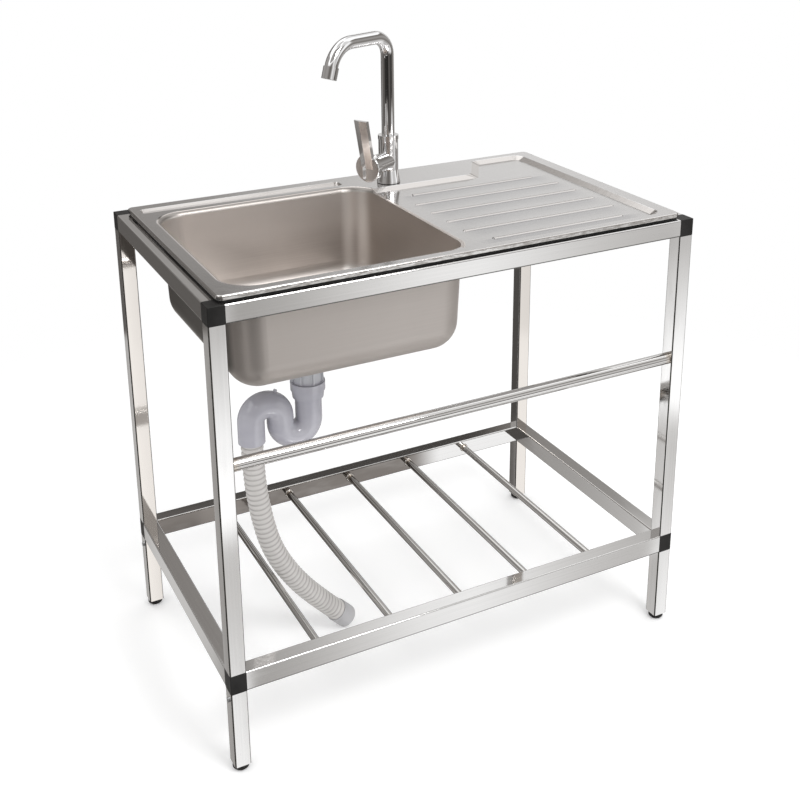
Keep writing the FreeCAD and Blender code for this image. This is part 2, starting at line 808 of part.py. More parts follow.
def strainer():
    """Cup, lift-out basket, gasket, drain body and the screw that clamps them on the bowl."""
    cup_bore = S.cup_radius - S.cup_wall
    drain = [drain_x, drain_y, bowl_floor]
    cup = turned([
        (0, -S.cup_depth),
        (S.cup_radius, -S.cup_depth),
        (S.cup_radius, 0),
        (S.flange_radius, 0),
        (S.flange_radius, S.flange_thickness),
        (cup_bore, S.flange_thickness),
        (cup_bore, S.cup_wall - S.cup_depth),
        (0, S.cup_wall - S.cup_depth),
    ], drain)
    hole_low = bowl_floor - S.cup_depth - S.overrun
    hole_run = S.cup_wall + 2 * S.overrun
    holes = around(CUP_HOLE_COUNT, S.cup_hole_circle,
                   lambda x, y: rod(S.cup_hole_radius, hole_run, (drain_x + x, drain_y + y, hole_low)))
    clamp_hole = S.clamp_radius + S.clamp_clearance
    node("strainer_cup", cut(cup, *holes, rod(clamp_hole, hole_run, (drain_x, drain_y, hole_low))))

    lip = S.flange_thickness
    wall = cup_bore - S.basket_gap
    knob_low = S.basket_post_height - S.basket_depth - S.basket_knob_height
    basket = turned([
        (0, -S.basket_depth),
        (wall, -S.basket_depth),
        (wall, lip),
        (S.basket_lip_radius, lip),
        (S.basket_lip_radius, lip + S.basket_wall),
        (wall - S.basket_wall, lip + S.basket_wall),
        (wall - S.basket_wall, S.basket_wall - S.basket_depth),
        (S.basket_post_radius, S.basket_wall - S.basket_depth),
        (S.basket_post_radius, knob_low),
        (S.basket_knob_radius, knob_low),
        (S.basket_knob_radius, knob_low + S.basket_knob_height),
        (0, knob_low + S.basket_knob_height),
    ], drain)
    basket_low = bowl_floor - S.basket_depth - S.overrun
    basket_run = S.basket_wall + 2 * S.overrun
    holes = []
    for count, circle in zip(BASKET_HOLE_COUNTS, (S.basket_hole_circle, S.basket_hole_circle * 2 / 3)):
        holes += around(count, circle, lambda x, y: rod(
            S.basket_hole_radius, basket_run, (drain_x + x, drain_y + y, basket_low)))
    node("strainer_basket", cut(basket, *holes))

    node("strainer_gasket", ring(S.drain_flange_radius, S.drain_hole_radius, S.gasket_thickness,
                                 (drain_x, drain_y, under_floor - S.gasket_thickness)))

    flange_top = -S.sheet - S.gasket_thickness
    cup_inside = S.drain_cup_radius - S.drain_wall
    drain_body = turned([
        (S.neck_bore_radius, -S.drain_cup_depth - S.neck_length),
        (S.neck_radius, -S.drain_cup_depth - S.neck_length),
        (S.neck_radius, -S.drain_cup_depth),
        (S.drain_cup_radius, -S.drain_cup_depth),
        (S.drain_cup_radius, flange_top - S.drain_flange_thickness),
        (S.drain_flange_radius, flange_top - S.drain_flange_thickness),
        (S.drain_flange_radius, flange_top),
        (cup_inside, flange_top),
        (cup_inside, S.drain_wall - S.drain_cup_depth),
        (S.neck_bore_radius, S.drain_wall - S.drain_cup_depth),
    ], drain)
    web_top = bowl_floor - S.drain_cup_depth - S.web_drop
    web_half = S.neck_bore_radius + S.drain_wall / 2
    web = box([2 * web_half, S.web_width, S.web_height],
              [drain_x - web_half, drain_y - S.web_width / 2, web_top - S.web_height])
    clamp_run = S.web_height + 2 * S.overrun
    clamp_bore = rod(clamp_hole, clamp_run, (drain_x, drain_y, web_top - S.web_height - S.overrun))
    node("drain_body", cut(fuse(drain_body, web, *neck_fins()), clamp_bore))

    clamp_seat = bowl_floor - S.cup_depth + S.cup_wall
    clamp_low = web_top - S.web_height
    node("strainer_screw", fuse(
        rod(S.clamp_head_radius, S.clamp_head_height, (drain_x, drain_y, clamp_seat)),
        rod(S.clamp_radius, clamp_seat - clamp_low, (drain_x, drain_y, clamp_low)),
    ))


def neck_fins():
    """Upright fins round the drain's neck, below its cup."""
    low = bowl_floor - S.drain_cup_depth - S.fin_height
    made = []
    for number in range(FIN_COUNT):
        degrees = FULL_TURN * number / FIN_COUNT
        along = math.cos(math.radians(degrees))
        across = math.sin(math.radians(degrees))
        corner = (drain_x + S.fin_root * along + S.fin_width / 2 * across,
                  drain_y + S.fin_root * across - S.fin_width / 2 * along, low)
        fin = box([S.fin_reach - S.fin_root, S.fin_width, S.fin_height], corner)
        made.append(place(fin, corner, FreeCAD.Rotation(UNIT["Z"], degrees)))
    return made


def bend(radius, tube, start, upward):
    """Half a turn of tube in the plane of X and Z."""
    made = bind(doc.addObject("Part::Torus", "Bend"), Radius1=radius, Radius2=tube)
    made.Angle3 = HALF_TURN
    return place(made, start, FreeCAD.Rotation(UNIT["X"], 90 if upward else -90))


def trap_run(tube, open_ends):
    """The trap's S bend as one run of tube of a radius; open ends run on for the bore's cut."""
    x = [drain_x - step * S.trap_pitch for step in range(3)]
    return fuse(
        rod(tube, trap_top - low_bend + open_ends, (x[0], drain_y, low_bend)),
        bend(S.trap_pitch / 2, tube, ((x[0] + x[1]) / 2, drain_y, low_bend), upward=False),
        rod(tube, S.trap_rise, (x[1], drain_y, low_bend)),
        bend(S.trap_pitch / 2, tube, ((x[1] + x[2]) / 2, drain_y, high_bend), upward=True),
        rod(tube, S.trap_outlet_drop + open_ends, (x[2], drain_y, trap_outlet - open_ends)),
    )


def trap_nub():
    """Small moulded stub on the trap's upper bend."""
    turn = FreeCAD.Rotation(UNIT["Y"], NUB_TURN)
    way = turn.multVec(UNIT["Z"])
    reach = S.trap_pitch / 2 + S.trap_radius - S.nub_root
    stub = rod(S.nub_radius, S.nub_root + S.nub_height, (ZERO, ZERO, ZERO))
    middle = drain_x - S.trap_pitch * 3 / 2
    return place(stub, (middle + reach * way.x, drain_y, high_bend + reach * way.z), turn)


def trap():
    """Trap, its seal and the nut that couples it to the drain's neck."""
    flange = S.neck_radius - S.thread_clearance
    body = fuse(trap_run(S.trap_radius, ZERO), trap_nub(),
                rod(flange, S.trap_flange_height, (drain_x, drain_y, trap_top - S.trap_flange_height)))
    socket = rod(S.hose_radius + S.hose_clearance, S.hose_socket + S.overrun,
                 (drain_x - 2 * S.trap_pitch, drain_y, trap_outlet - S.overrun))
    node("trap_bend", cut(body, trap_run(S.trap_radius - S.trap_wall, S.overrun), socket))
    node("trap_seal", ring(flange, S.trap_radius - S.trap_wall, S.trap_seal_height, (drain_x, drain_y, trap_top)))

    nut_low = trap_top - S.trap_flange_height - S.nut_lip
    lip_bore = S.trap_radius + S.thread_clearance
    bore = S.neck_radius + S.thread_clearance
    node("coupling_nut", turned([
        (lip_bore, 0),
        (S.nut_low_radius, 0),
        (S.nut_waist_radius, S.nut_waist_height),
        (S.nut_radius, S.nut_waist_height),
        (S.nut_radius, S.nut_height),
        (bore, S.nut_height),
        (bore, S.nut_lip),
        (lip_bore, S.nut_lip),
    ], [drain_x, drain_y, nut_low]))


strainer()
trap()


# Drain hose
def hose_path():
    """Straight runs of the route joined by arcs as large as the runs allow."""
    shoulder = trap_outlet + S.hose_socket
    seat = FreeCAD.Vector((drain_x - 2 * S.trap_pitch).value, drain_y.value, shoulder.value)
    points = [seat + FreeCAD.Vector(*offset) for offset in HOSE_ROUTE]
    edges = []
    last = points[0]
    for before, corner, after in zip(points, points[1:], points[2:]):
        inward = unit(before - corner)
        outward = unit(after - corner)
        trim = ARC_RUN_SHARE * min((before - corner).Length, (after - corner).Length)
        half = inward.getAngle(outward) / 2
        radius = trim * math.tan(half)
        print("hose arc radius", round(radius))
        middle = corner + unit(inward + outward) * (radius / math.sin(half) - radius)
        edges.append(Part.LineSegment(last, corner + inward * trim).toShape())
        last = corner + outward * trim
        edges.append(Part.Arc(corner + inward * trim, middle, last).toShape())
    edges.append(Part.LineSegment(last, points[-1]).toShape())
    return edges


def station(edges, distance):
    """Point and direction at a distance along the path."""
    for edge in edges:
        if distance <= edge.Length or edge is edges[-1]:
            mark = edge.getParameterByLength(min(distance, edge.Length))
            return edge.valueAt(mark), edge.tangentAt(mark)
        distance -= edge.Length


def steady_turn(direction):
    """Turn that lays a circle square to a direction, with its X axis kept near Y."""
    across = unit(UNIT["Y"] - direction * UNIT["Y"].dot(direction))
    return FreeCAD.Rotation(across, direction.cross(across), direction, "ZXY")


def hose_ring(edges, distance, radius):
    point, direction = station(edges, distance)
    circle = Part.Wire(Part.makeCircle(radius.value))
    circle.Placement = FreeCAD.Placement(point, steady_turn(direction))
    return circle


def hose():
    """Ribbed hose with its bore, and the cuff on its end."""
    edges = hose_path()
    length = sum(edge.Length for edge in edges)
    ribbed = length - 2 * S.hose_plain.value
    count = round(ribbed / S.hose_rib_pitch.value)
    pitch = ribbed / count
    rings = [hose_ring(edges, 0, S.hose_radius)]
    for number in range(count):
        start = S.hose_plain.value + number * pitch
        fall, end, rise = (start + share * pitch for share in RIB_SHARES)
        rings.append(hose_ring(edges, start, S.hose_radius))
        rings.append(hose_ring(edges, fall, S.hose_valley_radius))
        rings.append(hose_ring(edges, end, S.hose_valley_radius))
        rings.append(hose_ring(edges, rise, S.hose_radius))
    rings.append(hose_ring(edges, length, S.hose_radius))
    bore_mouth = hose_ring(edges, 0, S.hose_bore_radius)
    bore = Part.Wire(edges).makePipeShell([bore_mouth], True, False)
    made = Part.makeLoft(rings, True, True).cut(bore)
    section = math.pi * (((S.hose_radius.value + S.hose_valley_radius.value) / 2) ** 2
                         - S.hose_bore_radius.value ** 2)
    print("hose length", round(length), "ribs", count, "volume share", round(made.Volume / (section * length), 2))
    node("drain_hose", plain(made))

    end_point, direction = station(edges, length)
    socket = S.hose_radius + S.hose_clearance
    cuff = cut(
        rod(S.cuff_radius, S.cuff_length, (ZERO, ZERO, ZERO)),
        rod(socket, S.cuff_socket + S.overrun, (ZERO, ZERO, -S.overrun)),
        rod(S.hose_bore_radius, S.cuff_length + S.overrun, (ZERO, ZERO, ZERO)),
    )
    doc.recompute()
    cuff.Placement = FreeCAD.Placement(end_point - direction * S.cuff_socket.value, steady_turn(direction))
    node("hose_end_cuff", cuff)


hose()


# Tap, built about its own axis with the valve branch along X
barrel_low = deck + S.base_gasket_height
barrel_top = S.base_height + S.base_flare + S.barrel_height
bonnet_start = S.branch_length
bonnet_end = bonnet_start + S.bonnet_length
hub_start = bonnet_end + S.lever_gap
cartridge_start = S.branch_length - S.cartridge_seat
cartridge_end = cartridge_start + S.cartridge_length
cartridge_bore = S.cartridge_radius + S.cartridge_clearance
stem_start = cartridge_end - S.stem_depth
stem_bore = S.stem_radius + S.running_clearance


def stand_on_deck(label, made, degrees=TAP_TURN):
    """Turns a tap piece about the tap's axis and sets it on the deck's gasket."""
    doc.recompute()
    return node(label, place(made, (tap_x, tap_y, barrel_low), FreeCAD.Rotation(UNIT["Z"], degrees)))


def tap_body():
    flare = bind(doc.addObject("Part::Cone", "Flare"), Radius1=S.base_radius, Radius2=S.barrel_radius,
                 Height=S.base_flare)
    place(flare, (ZERO, ZERO, S.base_height))
    fixing_thread = S.shank_length - S.inlet_thread - S.shank_groove
    barrel = fuse(
        rod(S.base_radius, S.base_height, (ZERO, ZERO, ZERO)),
        flare,
        rod(S.barrel_radius, S.barrel_height, (ZERO, ZERO, S.base_height + S.base_flare)),
        rod(S.branch_radius, S.branch_length, (ZERO, ZERO, S.branch_height), "X"),
        rod(S.shank_radius, fixing_thread, (ZERO, ZERO, -fixing_thread)),
        rod(S.shank_groove_radius, S.shank_length, (ZERO, ZERO, -S.shank_length)),
        rod(S.shank_radius, S.inlet_thread, (ZERO, ZERO, -S.shank_length)),
    )
    socket = S.spout_radius + S.running_clearance
    socket_low = barrel_top - S.socket_depth
    grooves = [rod(socket + S.seal_ring_depth, S.seal_ring_height, (ZERO, ZERO, low)) for low in seal_lows()]
    return stand_on_deck("tap_body", cut(
        barrel,
        rod(S.waterway_radius, barrel_top + S.shank_length + S.overrun,
            (ZERO, ZERO, -S.shank_length - S.overrun)),
        rod(socket, S.socket_depth + S.overrun, (ZERO, ZERO, socket_low)),
        rod(S.valve_port_radius, S.branch_length, (ZERO, ZERO, S.branch_height), "X"),
        rod(cartridge_bore, S.cartridge_seat + S.overrun, (cartridge_start, ZERO, S.branch_height), "X"),
        *grooves,
    ))


def seal_lows():
    """Heights of the two seal rings in the spout's socket."""
    first = barrel_top - S.socket_depth + S.seal_ring_gap / 2
    return [first, first + S.seal_ring_height + S.seal_ring_gap / 2]


def valve():
    """Cartridge and the hollow bonnet that holds it in the branch."""
    axis = (cartridge_start, ZERO, S.branch_height)
    cartridge = cut(rod(S.cartridge_radius, S.cartridge_length, axis, "X"),
                    rod(stem_bore, S.stem_depth + S.overrun, (stem_start, ZERO, S.branch_height), "X"))
    stand_on_deck("valve_cartridge", cartridge)

    bonnet = cut(rod(S.bonnet_radius, S.bonnet_length, (bonnet_start, ZERO, S.branch_height), "X"),
                 rod(cartridge_bore, cartridge_end - cartridge_start, axis, "X"),
                 rod(stem_bore, S.bonnet_length + 2 * S.overrun,
                     (bonnet_start - S.overrun, ZERO, S.branch_height), "X"))
    stand_on_deck("valve_bonnet", bonnet)


def lever_section(height, width, lean):
    """Cross-section of the lever's ridged blade at a height over the valve's axis."""
    back = (hub_start + S.lever_back + lean).value
    half = width.value / 2
    edge = back + S.lever_edge.value
    face = (hub_start + S.lever_face + lean).value
    corners = [(back, -half), (edge, -half), (face, -S.lever_ridge_offset.value), (face, half), (back, half)]
    points = [FreeCAD.Vector(x, y, height.value) for x, y in corners]
    return Part.makePolygon([*points, points[0]])


def lever():
    """Lever with its hub, the valve stem it sits on and the grub screw between them."""
    hub = rod(S.lever_hub_radius, S.lever_face, (hub_start, ZERO, ZERO), "X")
    hub = rounded(hub, S.lever_hub_edge, lambda edge: edge.BoundBox.XMin > (hub_start + S.lever_gap).value)
    step_low = -S.lever_hub_radius - S.overrun
    step = box([S.lever_face, -S.lever_ridge_offset - step_low, -2 * step_low],
               [hub_start + S.lever_hub_depth, step_low, step_low])
    blade = Part.makeLoft([
        lever_section(-S.lever_tail, S.lever_width, ZERO),
        lever_section(ZERO, S.lever_width, ZERO),
        lever_section(S.lever_length, S.lever_tip_width, S.lever_lean),
    ], True, True)
    stem_end = hub_start + S.stem_reach
    lever_bore = rod(S.stem_radius + S.cartridge_clearance, stem_end - hub_start + S.overrun,
                     (hub_start - S.overrun, ZERO, ZERO), "X")
    grub_x = hub_start + S.grub_offset
    grub_bore = rod(S.grub_radius + S.screw_clearance, S.lever_hub_radius, (grub_x, ZERO, -S.lever_hub_radius))
    handle = cut(fuse(cut(hub, step), plain(blade)), lever_bore, grub_bore)

    flat = S.stem_flat - S.stem_radius
    relief = box([stem_end - hub_start + S.overrun, 2 * S.stem_radius, S.stem_flat + S.overrun],
                 [hub_start, -S.stem_radius, -S.stem_radius - S.overrun])
    stem = cut(rod(S.stem_radius, stem_end - stem_start, (stem_start, ZERO, ZERO), "X"), relief)

    grub_start = flat - S.grub_length
    socket = bind(doc.addObject("Part::Prism", "Hexagon"), Circumradius=S.grub_socket_radius,
                  Height=S.grub_socket_depth + S.overrun)
    socket.Polygon = 6
    place(socket, (grub_x, ZERO, grub_start - S.overrun))
    grub = cut(rod(S.grub_radius, S.grub_length, (grub_x, ZERO, grub_start)), socket)

    turn = FreeCAD.Rotation(UNIT["Z"], TAP_TURN)
    for label, made in (("lever_handle", handle), ("valve_stem", stem), ("lever_grub_screw", grub)):
        doc.recompute()
        node(label, place(made, (tap_x, tap_y, barrel_low + S.branch_height), turn))


def spout_tube(tube, open_ends):
    """Riser, first bend, level run and second bend as one run of tube of a radius."""
    first = S.spout_first_bend
    second = S.spout_second_bend
    foot = barrel_top - S.socket_depth
    level = S.spout_height
    riser = rod(tube, level - first - foot + open_ends, (ZERO, ZERO, foot - open_ends))
    upper = bind(doc.addObject("Part::Torus", "Bend"), Radius1=first, Radius2=tube)
    upper.Angle3 = 90
    place(upper, (first, ZERO, level - first), FreeCAD.Rotation(UNIT["X"], 90) * FreeCAD.Rotation(UNIT["Z"], 90))
    run = rod(tube, S.spout_run, (first, ZERO, level), "X")
    lower = bind(doc.addObject("Part::Torus", "Bend"), Radius1=second, Radius2=tube, Angle3=S.spout_tip_angle)
    turn = FreeCAD.Rotation(UNIT["X"], 90) * FreeCAD.Rotation(UNIT["Z"], 90 - S.spout_tip_angle.value)
    place(lower, (first + S.spout_run, ZERO, level - second), turn)
    return fuse(riser, upper, run, lower)


def tip_frame():
    """Local point and turn of the spout's tip, with Z along the outlet."""
    angle = math.radians(S.spout_tip_angle.value)
    reach = (S.spout_first_bend + S.spout_run).value + S.spout_second_bend.value * math.sin(angle)
    drop = S.spout_height.value - S.spout_second_bend.value * (1 - math.cos(angle))
    turn = FreeCAD.Rotation(UNIT["Y"], 90 + S.spout_tip_angle.value)
    return FreeCAD.Placement(FreeCAD.Vector(reach, 0, drop), turn)


def spout():
    """Spout tube, its collar and seal rings, and the aerator on its tip."""
    bore = S.spout_radius - S.spout_wall
    tip = tip_frame()
    tube = cut(spout_tube(S.spout_radius, ZERO), spout_tube(bore, S.overrun))
    stand_on_deck("spout_tube", tube, SPOUT_TURN)

    collar_bore = S.spout_radius + S.running_clearance
    collar = ring(S.collar_radius, collar_bore, S.collar_height, (ZERO, ZERO, barrel_top))
    stand_on_deck("spout_collar", collar)
    seals = []
    for low in seal_lows():
        start = (tap_x, tap_y, barrel_low + low)
        seals.append(ring(collar_bore + S.seal_ring_depth, collar_bore, S.seal_ring_height, start))
    group("spout_seal_rings", seals)

    whole = FreeCAD.Placement(FreeCAD.Vector(tap_x.value, tap_y.value, barrel_low.value),
                              FreeCAD.Rotation(UNIT["Z"], SPOUT_TURN)).multiply(tip)
    insert_radius = S.aerator_radius - S.spout_wall
    shell = cut(
        rod(S.aerator_radius, S.aerator_length, (ZERO, ZERO, ZERO)),
        rod(bore, S.aerator_length, (ZERO, ZERO, -S.overrun)),
        rod(insert_radius, S.aerator_insert_height + S.overrun,
            (ZERO, ZERO, S.aerator_length - S.aerator_insert_height)),
    )
    insert_start = S.aerator_length - S.aerator_insert_height
    holes = []
    for circle in (S.aerator_hole_circle, S.aerator_hole_circle * 3 / 2):
        holes += around(AERATOR_HOLE_COUNT, circle, lambda x, y: rod(
            S.aerator_hole_radius, S.aerator_insert_height + 2 * S.overrun, (x, y, insert_start - S.overrun)))
    insert = cut(rod(insert_radius, S.aerator_insert_height - S.spout_wall, (ZERO, ZERO, insert_start)), *holes)
    for label, made in (("aerator_ring", shell), ("aerator_insert", insert)):
        doc.recompute()
        made.Placement = whole
        node(label, made)


def deck_fixings():
    """Gasket and flanged back nut that hold the tap on the deck."""
    shank_bore = S.shank_radius + S.shank_clearance
    under_deck = deck - S.sheet
    node("tap_base_gasket", ring(S.base_gasket_radius, shank_bore, S.base_gasket_height, (tap_x, tap_y, deck)))
    nut = bind(doc.addObject("Part::Prism", "Hexagon"), Circumradius=S.back_nut_radius, Height=S.back_nut_height)
    nut.Polygon = 6
    flange_low = under_deck - S.back_nut_flange_height
    nut_low = flange_low - S.back_nut_height
    place(nut, (tap_x, tap_y, nut_low))
    flange = rod(S.back_nut_flange_radius, S.back_nut_flange_height, (tap_x, tap_y, flange_low))
    bore = rod(shank_bore, under_deck - nut_low + 2 * S.overrun, (tap_x, tap_y, nut_low - S.overrun))
    node("tap_back_nut", cut(fuse(nut, flange), bore))


tap_body()
valve()
lever()
spout()
deck_fixings()


# Checks and files
doc.recompute()
failed = [made.Name for made in doc.Objects if "Invalid" in made.State or "Error" in made.State]
if failed:
    raise RuntimeError(f"objects failed: {failed}")
for made in nodes:
    if made.Shape.isNull() or not made.Shape.isValid() or not made.Shape.Solids:
        raise RuntimeError(f"{made.Label} has no valid solid")
os.makedirs("parts", exist_ok=True)
for made in nodes:
    made.Shape.exportStep(f"parts/{made.Label}.step")
print(len(nodes), "nodes")
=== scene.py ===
"""Dressed outdoor sink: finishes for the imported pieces, the ribbed drain hose, floor, light and camera."""
import json
import math

import bmesh
import bpy
from mathutils import Matrix, Vector


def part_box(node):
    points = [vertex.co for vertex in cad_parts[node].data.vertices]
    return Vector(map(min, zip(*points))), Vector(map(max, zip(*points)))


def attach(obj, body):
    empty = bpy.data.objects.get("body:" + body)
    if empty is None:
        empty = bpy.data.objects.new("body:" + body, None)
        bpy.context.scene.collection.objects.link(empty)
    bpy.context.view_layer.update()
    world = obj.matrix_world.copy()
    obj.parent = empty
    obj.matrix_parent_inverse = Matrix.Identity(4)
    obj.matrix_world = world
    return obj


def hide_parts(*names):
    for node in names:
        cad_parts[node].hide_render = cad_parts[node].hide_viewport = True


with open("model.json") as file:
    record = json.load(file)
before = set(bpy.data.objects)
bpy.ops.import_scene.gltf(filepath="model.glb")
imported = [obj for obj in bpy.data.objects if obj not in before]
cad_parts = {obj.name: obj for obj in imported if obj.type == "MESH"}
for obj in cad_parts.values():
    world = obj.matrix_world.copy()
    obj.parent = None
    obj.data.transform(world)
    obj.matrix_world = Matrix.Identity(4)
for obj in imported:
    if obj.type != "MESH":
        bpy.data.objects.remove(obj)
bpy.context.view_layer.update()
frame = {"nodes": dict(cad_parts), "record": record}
nodes = frame["nodes"]
BODY = "stand_and_sink"


# Shader building
class Signal:
    """A socket of a node tree; arithmetic on it adds Math nodes."""

    def __init__(self, shading, socket):
        self.shading = shading
        self.socket = socket

    def maths(self, operation, first, second=0.0):
        return self.shading.node("ShaderNodeMath", {"operation": operation}, {0: first, 1: second})

    def __add__(self, other):
        return self.maths("ADD", self, other)

    __radd__ = __add__

    def __sub__(self, other):
        return self.maths("SUBTRACT", self, other)

    def __rsub__(self, other):
        return self.maths("SUBTRACT", other, self)

    def __neg__(self):
        return 0 - self

    def __mul__(self, other):
        return self.maths("MULTIPLY", self, other)

    __rmul__ = __mul__

    def __truediv__(self, other):
        return self.maths("DIVIDE", self, other)

    def __abs__(self):
        return self.maths("ABSOLUTE", self)

    def lower_of(self, other):
        return self.maths("MINIMUM", self, other)

    def higher_of(self, other):
        return self.maths("MAXIMUM", self, other)

    def root(self):
        return self.maths("SQRT", self)

    def wave(self):
        return self.maths("SINE", self)

    def fraction(self):
        return self.maths("FRACT", self)

    def angle_from(self, other):
        """Angle in degrees of the direction with this part across and the other part along."""
        return self.maths("ARCTAN2", self, other) * math.degrees(1)

    def eased(self, start, end):
        """0 at the start, 1 at the end, smooth between them."""
        settings = {"interpolation_type": "SMOOTHSTEP", "clamp": True}
        sockets = {"Value": self, "From Min": start, "From Max": end}
        return self.shading.node("ShaderNodeMapRange", settings, sockets)

    def band(self, start, end, soft):
        """1 between the start and the end, with soft edges inside them."""
        return self.eased(start, start + soft) * (1 - self.eased(end - soft, end))

    def blended(self, first, second):
        """The first value where this share is 0, the second where it is 1."""
        return (1 - self) * first + self * second

    def graded(self, *stops):
        """A value read off stops of place and value, straight between them."""
        first, last = stops[0][0], stops[-1][0]
        sockets = {"Value": self, "From Min": first, "From Max": last}
        share = self.shading.node("ShaderNodeMapRange", {"clamp": True}, sockets)
        spread = [((place - first) / (last - first), (value, value, value)) for place, value in stops]
        return self.shading.node("ShaderNodeValToRGB", {"stops": spread}, {0: share})


class Shading:
    """A node tree that nodes are added to."""

    def __init__(self, tree):
        self.tree = tree

    def node(self, kind, settings=None, sockets=None, out=0):
        made = self.tree.nodes.new(kind)
        for label, value in (settings or {}).items():
            if label == "stops":
                self.set_stops(made.color_ramp, value)
            else:
                setattr(made, label, value)
        for label, value in (sockets or {}).items():
            self.feed(made.inputs[label], value)
        return Signal(self, made.outputs[out])

    def feed(self, socket, value):
        if isinstance(value, Signal):
            self.tree.links.new(value.socket, socket)
        elif isinstance(value, tuple) and socket.type == "RGBA":
            socket.default_value = (*value, 1.0)
        else:
            socket.default_value = value

    @staticmethod
    def set_stops(ramp, stops):
        while len(ramp.elements) < len(stops):
            ramp.elements.new(1.0)
        for element, (place, colour) in zip(ramp.elements, stops):
            element.position = place
            element.color = (*colour, 1.0)

    def split(self, vector, letter):
        return self.node("ShaderNodeSeparateXYZ", sockets={0: vector}, out="XYZ".index(letter))

    def mixed(self, share, first, second):
        return self.node("ShaderNodeMix", {"data_type": "RGBA"}, {0: share, 6: first, 7: second}, out=2)


class Finish(Shading):
    """A material with one Principled shader; plain values are set on its sockets."""

    def __init__(self, name, **values):
        self.material = bpy.data.materials.new(name)
        self.material.use_nodes = True
        super().__init__(self.material.node_tree)
        self.shader = self.tree.nodes["Principled BSDF"]
        for label, value in values.items():
            socket = self.shader.inputs[label.replace("_", " ").title().replace("Ior", "IOR")]
            socket.default_value = (*value, 1.0) if isinstance(value, tuple) else value

    def give(self, label, signal):
        self.feed(self.shader.inputs[label], signal)
        return self

    def place(self, letter=None):
        """Object coordinates in metres, or one of them."""
        coordinates = self.node("ShaderNodeTexCoord", out=3)
        return coordinates if letter is None else self.split(coordinates, letter)

    def facing(self, letter):
        """One coordinate of the surface's normal."""
        return self.split(self.node("ShaderNodeNewGeometry", out=1), letter)

    def grain(self, scale=1.0, stretch=(1, 1, 1), detail=3.0, roughness=0.55):
        """Noise from 0 to 1 over the object, stretched along its axes."""
        spread = self.node("ShaderNodeMapping", sockets={"Vector": self.place(), "Scale": stretch})
        sockets = {"Vector": spread, "Scale": scale, "Detail": detail, "Roughness": roughness}
        return self.node("ShaderNodeTexNoise", sockets=sockets)

    def bumped(self, height, strength, distance):
        sockets = {"Height": height, "Strength": strength, "Distance": distance}
        return self.give("Normal", self.node("ShaderNodeBump", sockets=sockets))


# Modelling
def edges_of(ring):
    """The edges between a ring's points, each once and in their order."""
    return list(dict.fromkeys(edge for vertex in ring for edge in vertex.link_edges))


def finished_piece(name, mesh, finish):
    """Puts a modelled mesh into the scene as an object with its finish."""
    data = bpy.data.meshes.new(name)
    mesh.to_mesh(data)
    mesh.free()
    data.materials.append(finish.material)
    made = bpy.data.objects.new(name, data)
    bpy.context.scene.collection.objects.link(made)
    return made


# Drain hose
HOSE_ROUTE = [
    (-0.2725, -0.018, 0.423),
    (-0.2725, -0.018, 0.356),
    (-0.2645, -0.018, 0.285),
    (-0.249, -0.0165, 0.214),
    (-0.217, -0.012, 0.150),
    (-0.171, -0.0038, 0.0865),
    (-0.1205, 0.0058, 0.0303),
]
HOSE_CREST = 0.018
HOSE_VALLEY = 0.0161
HOSE_PLAIN = 0.013
HOSE_PITCH = 0.0092
ROUTE_STEPS = 64
RIB_FULLNESS = 0.65
RINGS_PER_RIB = 8
RING_POINTS = 40


def hose_line():
    """Points of the route's smooth curve, read from a bare curve object."""
    data = bpy.data.curves.new("hose_route", "CURVE")
    data.dimensions = "3D"
    data.resolution_u = ROUTE_STEPS
    spline = data.splines.new("NURBS")
    spline.points.add(len(HOSE_ROUTE) - 1)
    for point, place in zip(spline.points, HOSE_ROUTE):
        point.co = (*place, 1.0)
    spline.order_u = 3
    spline.use_endpoint_u = True
    bare = bpy.data.objects.new("hose_route", data)
    mesh = bpy.data.meshes.new_from_object(bare)
    line = [vertex.co.copy() for vertex in mesh.vertices]
    bpy.data.objects.remove(bare)
    bpy.data.curves.remove(data)
    bpy.data.meshes.remove(mesh)
    return line


def along(line, distance):
    """Point and direction at a distance along the line."""
    for start, end in zip(line, line[1:]):
        run = (end - start).length
        if distance <= run or end is line[-1]:
            return start + (end - start) * (distance / run), (end - start).normalized()
        distance -= run


def hose_stations(length):
    """Each ring's distance along the hose, and its height from the valley, 0, to the crest, 1."""
    ribbed = length - 2 * HOSE_PLAIN
    ribs = round(ribbed / HOSE_PITCH)
    stations = [(0.0, 1.0)]
    for number in range(ribs * RINGS_PER_RIB + 1):
        share = number / RINGS_PER_RIB
        crest = (0.5 + 0.5 * math.cos(2 * math.pi * share)) ** RIB_FULLNESS
        stations.append((HOSE_PLAIN + share * ribbed / ribs, crest))
    stations.append((length, 1.0))
    return stations


def hose_tube(line):
    """Ribbed tube along the line, made of bridged rings and closed at both ends."""
    length = sum((end - start).length for start, end in zip(line, line[1:]))
    mesh = bmesh.new()
    crest_layer = mesh.verts.layers.float.new("rib_crest")
    loops = []
    for distance, crest in hose_stations(length):
        point, direction = along(line, distance)
        across = Vector((0, 1, 0)).cross(direction).normalized()
        turn = Matrix((across, direction.cross(across), direction)).transposed().to_4x4()
        radius = HOSE_VALLEY + (HOSE_CREST - HOSE_VALLEY) * crest
        ring = bmesh.ops.create_circle(mesh, segments=RING_POINTS, radius=radius,
                                       matrix=Matrix.Translation(point) @ turn)["verts"]
        for vertex in ring:
            vertex[crest_layer] = crest
        loops.append(edges_of(ring))
    for first, second in zip(loops, loops[1:]):
        bmesh.ops.bridge_loops(mesh, edges=first + second)
    bmesh.ops.holes_fill(mesh, edges=loops[0] + loops[-1], sides=RING_POINTS)
    bmesh.ops.recalc_face_normals(mesh, faces=mesh.faces)
    for face in mesh.faces:
        face.smooth = len(face.verts) == 4
    return mesh


